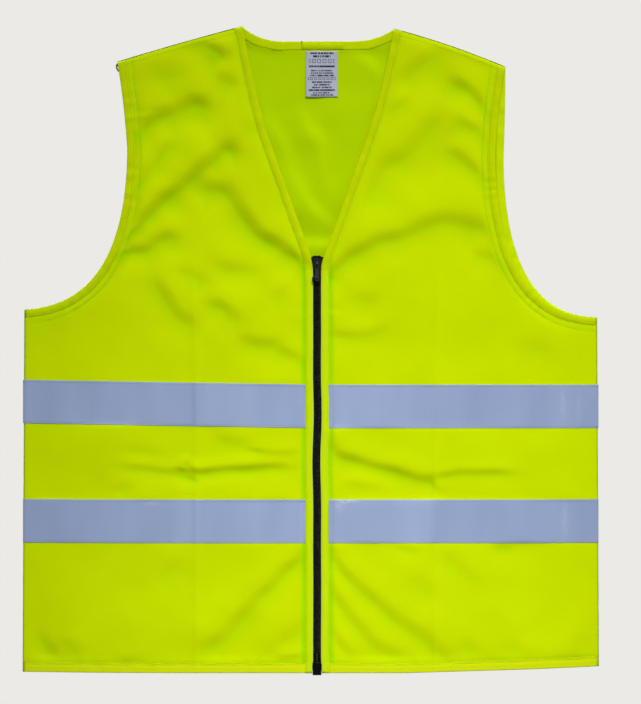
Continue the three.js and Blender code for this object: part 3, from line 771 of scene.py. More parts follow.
def cloth_sheet(name, face, x, z, thickness=CLOTH_THICKNESS, lift=0.0, inner_shade=0.0):
    """A sheet of cloth over a grid of places, with its thickness and its cut edges. inner_shade is painted
    shade on its inner side.
    """
    outer = face.point(x, z, np.full(x.shape, lift)).reshape(-1, 3)
    inner = face.point(x, z, np.full(x.shape, lift - thickness)).reshape(-1, 3)
    uvs = np.stack([x.ravel(), z.ravel()], axis=1)
    hollow = face.sample(face.hollow, x, z).ravel()
    shade = np.concatenate([hollow, np.full(x.size, inner_shade)])
    faces = two_sided(*x.shape, face.outward > 0)
    return make_object(name, np.concatenate([outer, inner]), faces, np.concatenate([uvs, uvs]), shade)


def side_vectors(path, side):
    """Unit vectors across a path, towards its left for side 1 and its right for side -1."""
    tangent = unit(np.gradient(path, axis=0))
    return np.stack([-tangent[:, 1], tangent[:, 0]], axis=1) * side


# How far a strip dives where it runs under another one, and where it stops, in front of the zip tape.
SINK_DEPTH = 1.1
ABOVE_TAPE = -1.42
THICKNESS_WOBBLE = 2.5


def strip(name, face, path, side, profile, step=3.0, wobble=0.0, seed=1, sink=(0.0, 0.0)):
    """A sewn strip that follows the cloth. profile is a loop of (distance in from the path, lift).

    sink is how much of the start and end of the strip, in mm, dives under the strip it runs into.
    """
    path = resampled(path, step)
    across = side_vectors(path, side)
    along = lengths_along(path)
    widen, thicken = line_noise(seed, 34), line_noise(seed + 1, 21)
    profile = np.array(profile, float)
    widest = profile[:, 0].max()
    w = profile[None, :, 0] * (1 + wobble * widen(along)[:, None] * (profile[None, :, 0] / widest))
    lift = profile[None, :, 1] * (1 + THICKNESS_WOBBLE * wobble * thicken(along)[:, None])
    if any(sink):
        lift = np.maximum(lift - SINK_DEPTH * sunk(along, *sink)[:, None], ABOVE_TAPE)
    place = path[:, None, :] + across[:, None, :] * w[:, :, None]
    points = face.point(place[..., 0], place[..., 1], lift)
    uvs = tube_uvs(along, profile[:, 0])
    return make_object(name, points.reshape(-1, 3), tube_faces(*w.shape, turned=True), uvs)


def tube_uvs(along, round_it):
    """For each point of a tube, how far along it and how far round it that is."""
    return np.stack(np.meshgrid(along, round_it, indexing="ij"), axis=-1).reshape(-1, 2)


def sunk(along, start, end):
    """1 at an end of a strip that dives, 0 along the rest of it."""
    total = np.zeros(along.shape)
    if start:
        total += 1 - smoothstep(along / start)
    if end:
        total += 1 - smoothstep((along[-1] - along) / end)
    return total


# A stitch is a small spindle of rings: (place along it, radius), as shares of its length and its radius.
SPINDLE_RINGS = [(-0.5, 0.15), (-0.38, 0.75), (0.0, 1.0), (0.38, 0.75), (0.5, 0.15)]
SPINDLE_SIDES = 6
STITCH_PITCH = 2.9
STITCH_LENGTH = 2.3
STITCH_JITTER = 0.09
STITCH_FLATNESS = 0.8


def stitches(name, face, path, lift, radius=0.26, seed=5):
    """A run of thread stitches lying on the cloth along a path."""
    path = resampled(path, STITCH_PITCH)
    start, end = path[:-1], path[1:]
    centre = (start + end) / 2
    jitter = np.random.default_rng(seed).normal(0, STITCH_JITTER, centre.shape)
    a = face.point(*(start + jitter).T, np.full(len(start), lift))
    b = face.point(*(end + jitter).T, np.full(len(start), lift))
    tangent = unit(b - a)
    normal = face.normal(*centre.T)
    across = unit(np.cross(tangent, normal))
    points = []
    for share, size in SPINDLE_RINGS:
        spine = (a + b) / 2 + tangent * STITCH_LENGTH * share - normal * (1 - size) * radius
        for angle in circle(SPINDLE_SIDES):
            round_it = across * math.cos(angle) + STITCH_FLATNESS * normal * math.sin(angle)
            points.append(spine + radius * size * round_it)
    points = np.stack(points, axis=1)
    count, size = points.shape[:2]
    one = tube_faces(len(SPINDLE_RINGS), SPINDLE_SIDES)
    faces = repeated(one[:-2], count, size) + repeated(one[-2:], count, size)
    return make_object(name, points.reshape(-1, 3), faces, tidy=False)


# ---- Materials -----------------------------------------------------------------------------------


# The wave texture's scale that gives one wave for each unit of length.
WAVE_SCALE = 0.31416


class Shader:
    """Builds one Principled material, with short calls for the nodes behind it."""

    def __init__(self, name, roughness, **constants):
        self.material = bpy.data.materials.new(name)
        self.material.use_nodes = True
        self.nodes = self.material.node_tree.nodes
        self.links = self.material.node_tree.links
        self.main = self.nodes["Principled BSDF"]
        self.main.inputs["Roughness"].default_value = roughness
        for socket, value in constants.items():
            self.main.inputs[socket.replace("_", " ")].default_value = value

    def add(self, kind, inputs=(), **settings):
        node = self.nodes.new(kind)
        for key, value in settings.items():
            setattr(node, key, value)
        for socket, value in dict(inputs).items():
            self.feed(node.inputs[socket], value)
        return node

    def feed(self, socket, value):
        if isinstance(value, bpy.types.NodeSocket):
            self.links.new(value, socket)
        else:
            socket.default_value = value

    def mapped(self, places, scale):
        return self.add("ShaderNodeMapping", {"Vector": places, "Scale": scale}).outputs[0]

    def uv(self, scale_u=1000.0, scale_v=1000.0):
        """Places on the cloth, in mm unless scaled otherwise."""
        return self.mapped(self.add("ShaderNodeUVMap", uv_map="cloth").outputs["UV"], (scale_u, scale_v, 1.0))

    def object_places(self):
        """Places in the object's own space, in mm."""
        return self.mapped(self.add("ShaderNodeTexCoord").outputs["Object"], (1000.0,) * 3)

    def noise(self, vector, size, detail=2.0, roughness=0.5):
        return self.add(
            "ShaderNodeTexNoise",
            {"Vector": vector, "Scale": 1.0 / size, "Detail": detail, "Roughness": roughness},
        ).outputs["Fac"]

    def wave(self, vector, pitch, direction="X", distortion=0.0):
        return self.add(
            "ShaderNodeTexWave",
            {"Vector": vector, "Scale": WAVE_SCALE / pitch, "Distortion": distortion, "Detail": 1.0},
            bands_direction=direction,
        ).outputs["Fac"]

    def maths(self, operation, a, b=0.0):
        return self.add("ShaderNodeMath", {0: a, 1: b}, operation=operation).outputs[0]

    def times(self, a, b):
        return self.maths("MULTIPLY", a, b)

    def plus(self, a, b):
        return self.maths("ADD", a, b)

    def minus(self, a, b):
        return self.maths("SUBTRACT", a, b)

    def spread(self, value, low=0.3, high=0.7, to_low=0.0, to_high=1.0):
        return self.add(
            "ShaderNodeMapRange",
            {"Value": value, "From Min": low, "From Max": high, "To Min": to_low, "To Max": to_high},
        ).outputs[0]

    def blend_colours(self, factor, a, b):
        node = self.add("ShaderNodeMix", data_type="RGBA")
        self.feed(node.inputs["Factor"], factor)
        for socket, colour in ((6, a), (7, b)):
            made = isinstance(colour, bpy.types.NodeSocket)
            self.feed(node.inputs[socket], colour if made else (*colour, 1.0))
        return node.outputs[2]

    def bump(self, height, distance, strength):
        return self.add(
            "ShaderNodeBump", {"Height": height, "Distance": distance * MM, "Strength": strength}
        ).outputs[0]

    def finish(self, colour, normal=None, roughness=None):
        self.feed(self.main.inputs["Base Color"], colour)
        if normal is not None:
            self.feed(self.main.inputs["Normal"], normal)
        if roughness is not None:
            self.feed(self.main.inputs["Roughness"], roughness)
        return self.material


# The highlights of fluorescent cloth take its colour.
DYED_SHINE = (1.0, 1.0, 0.1, 1.0)


def knit_material(name, light, dark, pitch=1.0, pattern=0.12, hollow=True, tones=()):
    """Knitted polyester: fine wales and courses, cloudy variation, and painted shade that makes its hollows
    darker and greener.

    Each of tones is (where it starts, where it is full, colour), in mm across the strip.
    """
    s = Shader(
        name, 0.82, Sheen_Weight=0.03, Sheen_Roughness=0.5, Sheen_Tint=DYED_SHINE,
        Specular_IOR_Level=0.08, Specular_Tint=DYED_SHINE,
    )
    place = s.uv()
    wales = s.wave(place, pitch, "X")
    courses = s.wave(place, pitch * 0.8, "Y")
    loops = s.times(wales, courses)
    cloud = s.noise(place, 46.0, 3.0)
    grain = s.noise(place, 1.7, 2.0)
    level = s.plus(s.times(cloud, 0.55), s.times(grain, 0.45))
    colour = s.blend_colours(s.spread(level), dark, light)
    colour = s.blend_colours(s.times(loops, pattern), colour, tuple(c * 0.72 for c in light))
    if hollow:
        # painted shade: the cloth is darker and greener in its hollows
        deep = s.add("ShaderNodeAttribute", attribute_name="hollow").outputs["Fac"]
        shaded = tuple(c * f for c, f in zip(light, (0.46, 0.90, 1.0)))
        colour = s.blend_colours(s.times(deep, 0.8), colour, shaded)
    for start, full, tone in tones:
        across = s.add("ShaderNodeSeparateXYZ", {"Vector": place}).outputs["Y"]
        colour = s.blend_colours(s.spread(across, start, full), colour, tone)
    height = s.plus(loops, s.times(grain, 0.6))
    return s.finish(colour, s.bump(height, 0.07, 0.55))


FABRIC_LIGHT = (0.650, 0.815, 0.0)
FABRIC_DARK = (0.600, 0.762, 0.0)
TRIM_LIGHT = (0.650, 0.795, 0.0)
TRIM_DARK = (0.590, 0.740, 0.0)
THREAD = (0.560, 0.565, 0.006)

fabric_material = knit_material("vest_knit", FABRIC_LIGHT, FABRIC_DARK)
# The placket's tones make it darker towards the teeth and paler along its folded edge beside them; the pale
# line is a painted highlight.
placket_material = knit_material(
    "placket_knit", (0.650, 0.845, 0.003), (0.595, 0.785, 0.002), hollow=False,
    tones=[(4.6, 2.0, (0.575, 0.765, 0.003)), (1.7, 0.9, (0.580, 0.730, 0.060))],
)


def ribbed_material(name, light, dark, pitch):
    """Binding tape: ribs across the strip."""
    s = Shader(
        name, 0.78, Sheen_Weight=0.03, Sheen_Tint=DYED_SHINE, Specular_IOR_Level=0.10,
        Specular_Tint=DYED_SHINE,
    )
    place = s.uv()
    ribs = s.wave(place, pitch, "X", 0.6)
    grain = s.noise(place, 1.3, 2.0)
    cloud = s.noise(place, 18.0, 2.0)
    colour = s.blend_colours(s.spread(cloud, 0.35, 0.65), dark, light)
    colour = s.blend_colours(s.times(ribs, 0.22), colour, tuple(c * 0.7 for c in dark))
    return s.finish(colour, s.bump(s.plus(ribs, grain), 0.09, 0.6))


binding_material = ribbed_material("binding", TRIM_LIGHT, TRIM_DARK, 0.75)
# The back bindings are painted brighter than the front ones: painted light on the narrow strip of them that
# shows, in shade, beside the front armholes.
brightened_back_binding_material = ribbed_material("back_binding", (0.74, 0.93, 0.0), (0.68, 0.87, 0.0), 0.75)
# The hem's tones paint a dark line along its top edge, a painted shadow, and a brighter band towards its
# foot, painted light.
hem_material = knit_material(
    "hem_knit", (0.690, 0.800, 0.004), (0.635, 0.745, 0.002), hollow=False,
    tones=[(9.3, 10.4, (0.440, 0.530, 0.002)), (3.4, 0.8, (0.800, 0.900, 0.010))],
)
# Both seams are painted much darker than the cloth, and the shoulder seams darker still: painted shade along
# their rolled edges.
seam_material = ribbed_material("seam", (0.36, 0.50, 0.002), (0.28, 0.41, 0.001), 1.4)
shoulder_seam_material = ribbed_material("shoulder_seam", (0.16, 0.25, 0.001), (0.11, 0.18, 0.001), 1.4)


def thread_material(name, colour):
    """Twisted thread of one colour, with darker fibres."""
    s = Shader(name, 0.55, Specular_IOR_Level=0.4)
    place = s.object_places()
    fibres = s.noise(place, 0.5, 2.0)
    dark = tuple(c * 0.75 for c in colour)
    mixed = s.blend_colours(s.spread(fibres), dark, colour)
    return s.finish(mixed, s.bump(fibres, 0.05, 0.5))


thread_yellow = thread_material("yellow_thread", THREAD)
thread_grey = thread_material("grey_thread", (0.33, 0.38, 0.50))
thread_green = thread_material("green_thread", (0.14, 0.24, 0.015))


# Worn places on the tape: centre, half size and how much of the beads is gone.
WORN_SPOTS = [
    ((34, -546), (19, 3.2), 0.95),
    ((26, -552), (8, 8), 0.5),
    ((-190, -549), (13, 3), 0.45),
    ((283, -432), (5, 24), 0.30),
    ((301, -440), (4, 26), 0.24),
    ((285, -568), (5, 24), 0.30),
]


def worn_spots(s, place):
    """Feathery marks where the tape's beads have rubbed off."""
    total = 0.0
    feather = s.spread(s.noise(place, 3.125, 5.0, 0.75), 0.38, 0.58)
    for (x, z), (half_x, half_z), amount in WORN_SPOTS:
        local = s.add(
            "ShaderNodeMapping",
            {
                "Vector": place,
                "Location": (-x / half_x, -z / half_z, 0),
                "Scale": (1 / half_x, 1 / half_z, 0),
            },
        ).outputs[0]
        away = s.add("ShaderNodeVectorMath", {0: local}, operation="LENGTH").outputs["Value"]
        near = s.times(s.spread(away, 0.3, 1.1, amount, 0.0), feather)
        total = s.plus(total, near)
    return total


def reflective_material():
    """Silver tape of glass beads on cloth: fine grain, faint blotches, worn scuffs and painted shade beyond
    the pressed creases.
    """
    s = Shader("reflective_tape", 0.5, Specular_IOR_Level=0.55, Sheen_Weight=0.05)
    place = s.uv()
    beads = s.add("ShaderNodeTexVoronoi", {"Vector": place, "Scale": 1.9}).outputs["Distance"]
    weave = s.times(s.wave(place, 0.9, "X"), s.wave(place, 0.9, "Y"))
    streaks = s.noise(s.uv(34.0, 6.0), 1.0, 3.0, 0.5)
    colour = s.blend_colours(s.spread(streaks), (0.312, 0.380, 0.610), (0.346, 0.420, 0.655))
    colour = s.blend_colours(s.times(weave, 0.10), colour, (0.20, 0.25, 0.38))
    apart = s.add("ShaderNodeSeparateXYZ", {"Vector": place}).outputs["X"]
    for half in HALVES:
        beyond = s.times(s.minus(apart, half.crease_x), half.sign)
        # the tape is painted darker beyond the pressed creases: painted shade where it turns away from the
        # light
        beyond_crease_shade = s.spread(beyond, -1.5, 1.5, 0.0, half.crease_shade)
        colour = s.blend_colours(beyond_crease_shade, colour, (0.15, 0.19, 0.34))
    worn = s.times(worn_spots(s, place), 0.85)
    colour = s.blend_colours(worn, colour, (0.60, 0.66, 0.78))
    height = s.plus(beads, s.times(weave, 0.6))
    crinkle = s.bump(s.noise(place, 5.5, 4.0, 0.6), 0.5, 0.16)
    fine = s.bump(height, 0.05, 0.5)
    s.feed(fine.node.inputs["Normal"], crinkle)
    return s.finish(colour, fine, s.spread(streaks, 0.3, 0.7, 0.44, 0.58))


reflective = reflective_material()


def woven_black_material():
    """Woven polyester tape with a diagonal twill."""
    s = Shader("zip_tape_weave", 0.8, Specular_IOR_Level=0.10, Sheen_Weight=0.02)
    place = s.uv()
    twill = s.wave(place, 0.8, "DIAGONAL", 0.4)
    grain = s.noise(place, 0.9, 2.0)
    colour = s.blend_colours(twill, (0.002, 0.002, 0.003), (0.008, 0.008, 0.010))
    return s.finish(colour, s.bump(s.plus(twill, grain), 0.1, 0.8))


def plastic_material(name, low, high, roughness, shine):
    """Moulded plastic or enamel, between two colours."""
    s = Shader(name, roughness, Specular_IOR_Level=shine)
    place = s.object_places()
    cloud = s.noise(place, 3.0, 3.0)
    fine = s.noise(place, 0.4, 2.0)
    colour = s.blend_colours(s.spread(cloud), low, high)
    return s.finish(
        colour, s.bump(fine, 0.012, 0.4), s.spread(cloud, 0.3, 0.7, roughness - 0.06, roughness + 0.08)
    )


zip_tape_material = woven_black_material()
tooth_material = plastic_material(
    "zip_teeth_plastic", (0.0012, 0.0012, 0.0016), (0.003, 0.003, 0.004), 0.27, 0.13
)
slider_material = plastic_material("slider_enamel", (0.004, 0.004, 0.005), (0.010, 0.010, 0.012), 0.3, 0.35)
tab_material = plastic_material("tab_enamel", (0.015, 0.015, 0.018), (0.030, 0.030, 0.035), 0.3, 0.4)

LABEL_LEFT_X = 24
LABEL_RIGHT_X = -13
LABEL_TOP = -27.8
LABEL_LENGTH = 53
LABEL_THICKNESS = 0.22

# Rows of dashes on the label, which stand for its small print and spell nothing: how far each is down
# the label, its height, its half width and how dark it is.
LABEL_DASHES = [
    (1.3, 2.4, 13.5, 1.0),
    (4.9, 2.4, 10.0, 1.0),
    (16.6, 2.1, 15.5, 1.0),
    (21.8, 1.6, 12.5, 0.95),
    (24.6, 1.6, 13.0, 0.95),
    (27.3, 1.8, 14.0, 1.0),
    (34.9, 1.8, 11.5, 1.0),
    (38.0, 1.8, 9.5, 1.0),
    (41.0, 1.8, 11.5, 0.95),
    (44.0, 2.1, 15.0, 1.0),
    (47.3, 1.7, 10.0, 0.95),
    (49.8, 1.6, 13.0, 1.0),
]
# Rows of small empty boxes: how far down their middles are, their half height, their pitch and the half
# width of the row.
LABEL_BOXES = [(11.6, 2.1, 6.1, 15.2), (31.8, 1.6, 4.7, 16.4)]
BOX_LINE = 0.35


def label_material():
    """Satin label with rows of plain dashes and empty boxes."""
    s = Shader("label_satin_weave", 0.5, Specular_IOR_Level=0.4, Sheen_Weight=0.1)
    place = s.uv()
    weave = s.times(s.wave(place, 0.5, "X"), s.wave(place, 0.5, "Y"))
    apart = s.add("ShaderNodeSeparateXYZ", {"Vector": place})
    down = s.minus(LABEL_TOP, apart.outputs["Y"])
    across = s.minus(apart.outputs["X"], (LABEL_LEFT_X + LABEL_RIGHT_X) / 2)
    away = s.maths("ABSOLUTE", across)
    row_offset, row_ink, box_ink = 0.0, 0.0, 0.0
    for index, (top, height, half_width, ink) in enumerate(LABEL_DASHES):
        off_middle = s.maths("ABSOLUTE", s.minus(down, top + height / 2))
        in_row = s.maths("LESS_THAN", off_middle, height / 2)
        row_offset = s.plus(row_offset, s.times(in_row, 7.3 * (index + 1)))
        in_reach = s.times(in_row, s.maths("LESS_THAN", away, half_width))
        row_ink = s.plus(row_ink, s.times(in_reach, ink))
    dash_place = s.add("ShaderNodeCombineXYZ", {"X": s.times(across, 0.95), "Y": row_offset})
    dashes = s.spread(s.noise(dash_place.outputs[0], 1.0, 1.0), 0.38, 0.45)
    for middle, half_height, pitch, half_width in LABEL_BOXES:
        u = s.times(s.minus(s.maths("FRACT", s.maths("DIVIDE", across, pitch)), 0.5), pitch)
        v = s.minus(down, middle)
        reach = s.maths("MAXIMUM", s.maths("ABSOLUTE", u), s.maths("ABSOLUTE", v))
        outline = s.maths("LESS_THAN", s.maths("ABSOLUTE", s.minus(reach, half_height - BOX_LINE)), BOX_LINE)
        in_reach = s.maths("LESS_THAN", away, half_width)
        box_ink = s.plus(box_ink, s.times(outline, in_reach))
    inked = s.plus(s.times(dashes, row_ink), s.times(box_ink, 0.85))
    ground = s.blend_colours(weave, (0.50, 0.51, 0.64), (0.61, 0.62, 0.76))
    colour = s.blend_colours(s.maths("MINIMUM", inked, 1.0), ground, (0.020, 0.022, 0.035))
    return s.finish(colour, s.bump(weave, 0.04, 0.5))


def dress(obj, material):
    obj.data.materials.clear()
    obj.data.materials.append(material)
    return obj


# ---- Baking pieces in place ------------------------------------------------------------------------


def bend_with(obj):
    """Bakes the piece's placement into its mesh."""
    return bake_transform(obj)


# ---- Panels --------------------------------------------------------------------------------------

EDGE_STEPS = [0.0, 0.35, 0.8, 1.5, 2.6, 4.2, 6.0, 7.8, 9.4, 11.0, 13.0, 15.5, 17.8]
INNER_STEPS = [0.0, 1.3, 2.8, 4.4, 6.2, 8.0, 9.4, 11.0, 13.2, 15.6]
HEM_STEPS = [0.0, 2.0, 5.0, 8.0, 9.8, 11.4, 13.0, 15.0, 17.5]
ROW_STEP = 2.4
# The first, closer rows beside an armhole end this far below the shoulder tip.
CLOSE_ROWS_END = 5.5
# The steps draw together where a row is shorter than this.
NARROW_ROW = 90
SHOULDER_BOW_REACH = 60
# How far above the hem's edge and below the back neck's edge a panel stops, inside its trim.
HEM_TUCK = 0.8
NECK_TUCK = 0.5
MIDDLE_COLUMNS = 124
LOWER_ROWS = 166


def across_row(start, end, middle_columns, first_steps, last_steps):
    """Places along each row: fine steps from both ends and even ones between."""
    width = np.abs(end - start)
    direction = np.sign(end - start)
    squeeze = np.minimum(1, width / NARROW_ROW)
    first = np.array(first_steps)[None] * squeeze[:, None]
    last = np.array(last_steps)[::-1][None] * squeeze[:, None]
    inner_start, inner_end = first[:, -1:], width[:, None] - last[:, :1]
    share = np.linspace(0, 1, middle_columns + 2)[1:-1][None]
    middle = inner_start + (inner_end - inner_start) * share
    along = np.concatenate([first, middle, width[:, None] - last], axis=1)
    return start[:, None] + direction[:, None] * along, along / width[:, None]


def lower_rows(length):
    """Shares of the way from the underarm to the hem."""
    foot = np.array(HEM_STEPS)[::-1]
    even = np.linspace(0, length - foot[0], LOWER_ROWS)[1:-1]
    return np.concatenate([even, length - foot]) / length


def armhole_rows(half, inset=0.0):
    edge = armhole_edge(half, inset)
    rows = resampled(edge, ROW_STEP)
    near_top = np.stack(sample_path(edge, EDGE_STEPS[1:6]), axis=1)
    return np.concatenate([rows[:1], near_top, rows[rows[:, 1] < half.shoulder_tip[1] - CLOSE_ROWS_END]])


def front_grid(half):
    """Places of a front panel, row by row from the shoulder line to the hem."""
    outer = armhole_rows(half)
    top_z, foot_z = half.shoulder_tip[1], half.underarm[1]
    share = (outer[:, 1] - top_z) / (foot_z - top_z)
    inner_z = half.neck_point[1] + share * (foot_z - half.neck_point[1])
    neck = neck_edge(half)
    neck_x = np.interp(-inner_z, -neck[:, 1], neck[:, 0])
    inner_x = half.sign * np.maximum(half.sign * neck_x, PANEL_INNER_X)
    rows_x, columns = across_row(outer[:, 0], inner_x, MIDDLE_COLUMNS, EDGE_STEPS, INNER_STEPS)
    rows_z = outer[:, 1:] + (inner_z[:, None] - outer[:, 1:]) * columns
    # the first rows follow the bow of the shoulder line
    bow = shoulder_z(half, rows_x[0]) - rows_z[0]
    fade = np.clip(1 - (rows_z[0][None] - rows_z) / SHOULDER_BOW_REACH, 0, 1)
    rows_z = rows_z + bow[None] * fade
    deep = lower_rows(foot_z - half.hem_corner[1])
    edge_x = side_x(half, foot_z + (half.hem_corner[1] - foot_z) * deep)
    inner_x = np.full(edge_x.shape, float(half.sign * PANEL_INNER_X))
    lower_x, _ = across_row(edge_x, inner_x, MIDDLE_COLUMNS, EDGE_STEPS, INNER_STEPS)
    lower_z = foot_z + (hem_z(lower_x) + HEM_TUCK - foot_z) * deep[:, None]
    return np.concatenate([rows_x, lower_x]), np.concatenate([rows_z, lower_z])


def sample_path(path, distances):
    """x and z of the points at some distances along a path."""
    along = lengths_along(path)
    return [np.interp(distances, along, path[:, k]) for k in (0, 1)]


def back_grid():
    """Places of the back panel, row by row from its top edge to the hem."""
    right = armhole_rows(RIGHT, RIGHT.back_armhole_inset)
    left_edge = armhole_edge(LEFT, LEFT.back_armhole_inset)
    tips = [half.shoulder_tip for half in HALVES]
    underarms = [half.underarm for half in HALVES]
    share = (right[:, 1] - tips[0][1]) / (underarms[0][1] - tips[0][1])
    left_z = tips[1][1] + share * (underarms[1][1] - tips[1][1])
    left_x = np.interp(-left_z, -left_edge[:, 1], left_edge[:, 0])
    columns = across_row(right[:1, 0], left_x[:1], 2 * MIDDLE_COLUMNS, EDGE_STEPS, EDGE_STEPS)[1][0]
    # the corners of the neck fall exactly on a column
    span = tips[1][0] - tips[0][0]
    for half in HALVES:
        wanted = (half.neck_point[0] - tips[0][0]) / span
        columns[np.argmin(np.abs(columns - wanted))] = wanted
    top_x = tips[0][0] + span * columns
    outside = (top_x < RIGHT.neck_point[0] + 0.01) | (top_x > LEFT.neck_point[0] - 0.01)
    shoulders = np.where(top_x < 0, shoulder_z(RIGHT, top_x), shoulder_z(LEFT, top_x))
    neck = back_neck_edge()
    top_z = np.where(outside, shoulders, np.interp(top_x, neck[:, 0], neck[:, 1]) - NECK_TUCK)
    under_z = underarms[0][1] + (underarms[1][1] - underarms[0][1]) * columns
    upper_x = right[:, :1] + (left_x[:, None] - right[:, :1]) * columns[None]
    upper_z = top_z[None] + (under_z - top_z)[None] * share[:, None]
    deep = lower_rows(underarms[0][1] - RIGHT.hem_corner[1])[:, None]
    drops = [half.hem_corner[1] - half.underarm[1] for half in HALVES]
    ends = [side_x(half, half.underarm[1] + drop * deep) for half, drop in zip(HALVES, drops)]
    lower_x = ends[0] + (ends[1] - ends[0]) * columns[None]
    lower_z = under_z[None] + (hem_z(lower_x) + HEM_TUCK - under_z[None]) * deep
    return np.concatenate([upper_x, lower_x]), np.concatenate([upper_z, lower_z])


panels = {}
for half in HALVES:
    grid_x, grid_z = front_grid(half)
    panel = cloth_sheet(f"cloth_front_{half.name}", front, grid_x, grid_z)
    dress(panel, fabric_material)
    bend_with(panel)
    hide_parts(f"front_panel_{half.name}_side", f"front_panel_{half.name}_leaf")
    panels[half.name] = panel

grid_x, grid_z = back_grid()
# the back's inner side gets painted shade, darker and greener
panels["back"] = cloth_sheet("cloth_back", back, grid_x, grid_z, inner_shade=0.30)
dress(panels["back"], fabric_material)
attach(panels["back"], "vest_body")
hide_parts("back_panel")

# ---- Bindings, hem and seams ---------------------------------------------------------------------

# Spacing of the points along a trim, and how far in from a trim's inner edge its stitches run.
TRIM_STEP = 2.5
BINDING_STITCH_LINE = 1.6
HEM_STITCH_LINE = 2.1
PLACKET_STITCH_LINE = 2.0
# How far each run of stitches stands out from the cloth's face.
BINDING_STITCH_LIFT = 0.42
HEM_STITCH_LIFT = 0.34
PLACKET_STITCH_LIFT = 0.6
CLOTH_STITCH_LIFT = 0.12

trim_pieces = {name: [] for name in panels}


def binding_profile(width):
    """Cloth folded over an edge, with the groove that its stitches draw in."""
    groove = width - BINDING_STITCH_LINE
    return [
        (width, 0.08), (width - 0.35, 0.42), (groove + 0.5, 0.5), (groove, 0.3), (groove - 0.6, 0.52),
        (width * 0.45, 0.68), (1.2, 0.62), (0.25, 0.3), (-0.15, -0.4), (0.2, -1.15), (1.2, -1.5),
        (groove, -1.45), (width - 0.4, -1.4), (width, -0.98),
    ]


PLACKET_INNER = 4.55
PLACKET_OUTER = 13.2
# How long the ends are that dive out of sight, where the neck binding and the placket cross.
NECK_BINDING_DIVE = 34.0
PLACKET_DIVE = 30.0


def placket_edge(half):
    """The edge of the placket beside the teeth: wider apart at the top, where the slider sits."""
    bends = [(8.1, -264.6), (6.9, -268), (5.3, -273.5), (4.6, -279), (PLACKET_INNER, -300)]
    foot = float(hem_z(half.sign * 8.0)) - 0.3
    bends += [(PLACKET_INNER, -731), (5.4, -733.5), (5.4, foot)]
    return np.array(bends) * (half.sign, 1)


def keep_with(obj, panel_name):
    """Count a piece among those that are sewn to a panel."""
    trim_pieces[panel_name].append(obj)
    return obj


def yellow_run(name, face, path, lift, **thread):
    """A row of stitches in the yellow thread of the trim."""
    return dress(stitches(f"stitches_{name}", face, path, lift, **thread), thread_yellow)


def bound_edge(
    name, face, path, side, width, node, panel_name, seed, sink=(0.0, 0.0), material=binding_material
):
    """A binding and its row of stitches."""
    profile = binding_profile(width)
    piece = strip(name, face, path, side, profile, TRIM_STEP, wobble=0.035, seed=seed, sink=sink)
    dress(piece, material)
    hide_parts(node)
    line = resampled(path, TRIM_STEP)
    run_path = line + side_vectors(line, side) * (width - BINDING_STITCH_LINE)
    if sink[1]:
        run_path = run_path[: -int(sink[1] / TRIM_STEP)]
    run = yellow_run(name, face, run_path, BINDING_STITCH_LIFT, seed=seed)
    return keep_with(piece, panel_name), keep_with(run, panel_name)


for half in HALVES:
    inward = -half.sign
    name = half.name
    for piece in bound_edge(
        f"binding_armhole_front_{name}", front, armhole_edge(half), inward, ARMHOLE_BINDING_WIDTH,
        f"armhole_binding_front_{name}", name, 21,
    ):
        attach(piece, "vest_body")
    for piece in bound_edge(
        f"binding_armhole_back_{name}", back, back_armhole_edge(half), inward,
        ARMHOLE_BINDING_WIDTH, f"armhole_binding_back_{name}", "back", 23, material=brightened_back_binding_material,
    ):
        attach(piece, "vest_body")
    for piece in bound_edge(
        f"binding_neck_{name}", front, joined(neck_edge(half), placket_edge(half)[:5]), half.sign,
        NECK_BINDING_WIDTH, f"neck_binding_{name}", name, 25, sink=(0.0, NECK_BINDING_DIVE),
    ):
        bend_with(piece)
for piece in bound_edge(
    "binding_neck_back", back, back_neck_edge(), -1, BACK_NECK_BINDING_WIDTH, "back_neck_binding", "back", 27
):
    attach(piece, "vest_body")


def between_x(path, low, high):
    """The part of a path that runs along +X between two places."""
    path = np.array(resampled(path, 2.0))
    inside = path[(path[:, 0] > low) & (path[:, 0] < high)]
    ends = [(x, float(np.interp(x, path[:, 0], path[:, 1]))) for x in (low, high)]
    return np.concatenate([[ends[0]], inside, [ends[1]]])


def hem_piece(name, face, low, high, nodes, panel_name, seed):
    """The turned hem between two places, and its row of stitches."""
    path = between_x(HEM_EDGE, low, high)
    profile = [
        (HEM_WIDTH, 0.06), (HEM_WIDTH - 0.4, 0.36), (HEM_WIDTH - 1.4, 0.4),
        (HEM_WIDTH - HEM_STITCH_LINE, 0.22), (HEM_WIDTH - 2.9, 0.42), (5, 0.55), (2.0, 0.54), (0.8, 0.46),
        (0.1, 0.1), (-0.1, -0.5), (0.2, -1.1), (1, -1.4), (HEM_WIDTH - 0.6, -1.35), (HEM_WIDTH, -0.96),
    ]
    piece = strip(name, face, path, 1, profile, wobble=0.03, seed=seed)
    dress(piece, hem_material)
    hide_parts(*nodes)
    line = path + (0, HEM_WIDTH - HEM_STITCH_LINE)
    run = yellow_run(name, face, line, HEM_STITCH_LIFT, seed=seed)
    return keep_with(piece, panel_name), keep_with(run, panel_name)


HEM_LOW_X, HEM_HIGH_X = RIGHT.hem_corner[0] + 0.6, LEFT.hem_corner[0] - 0.6
for half, low, high in ((RIGHT, HEM_LOW_X, -BAND_START), (LEFT, BAND_START, HEM_HIGH_X)):
    nodes = (f"hem_band_{half.name}_side", f"hem_band_{half.name}_leaf")
    for piece in hem_piece(f"hem_front_{half.name}", front, low, high, nodes, half.name, 31):
        bend_with(piece)
for piece in hem_piece("hem_back", back, HEM_LOW_X, HEM_HIGH_X, ("hem_band_back",), "back", 33):
    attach(piece, "vest_body")


SEAM_HALF_WIDTH = 0.9
SEAM_HALF_DEPTH = 1.15


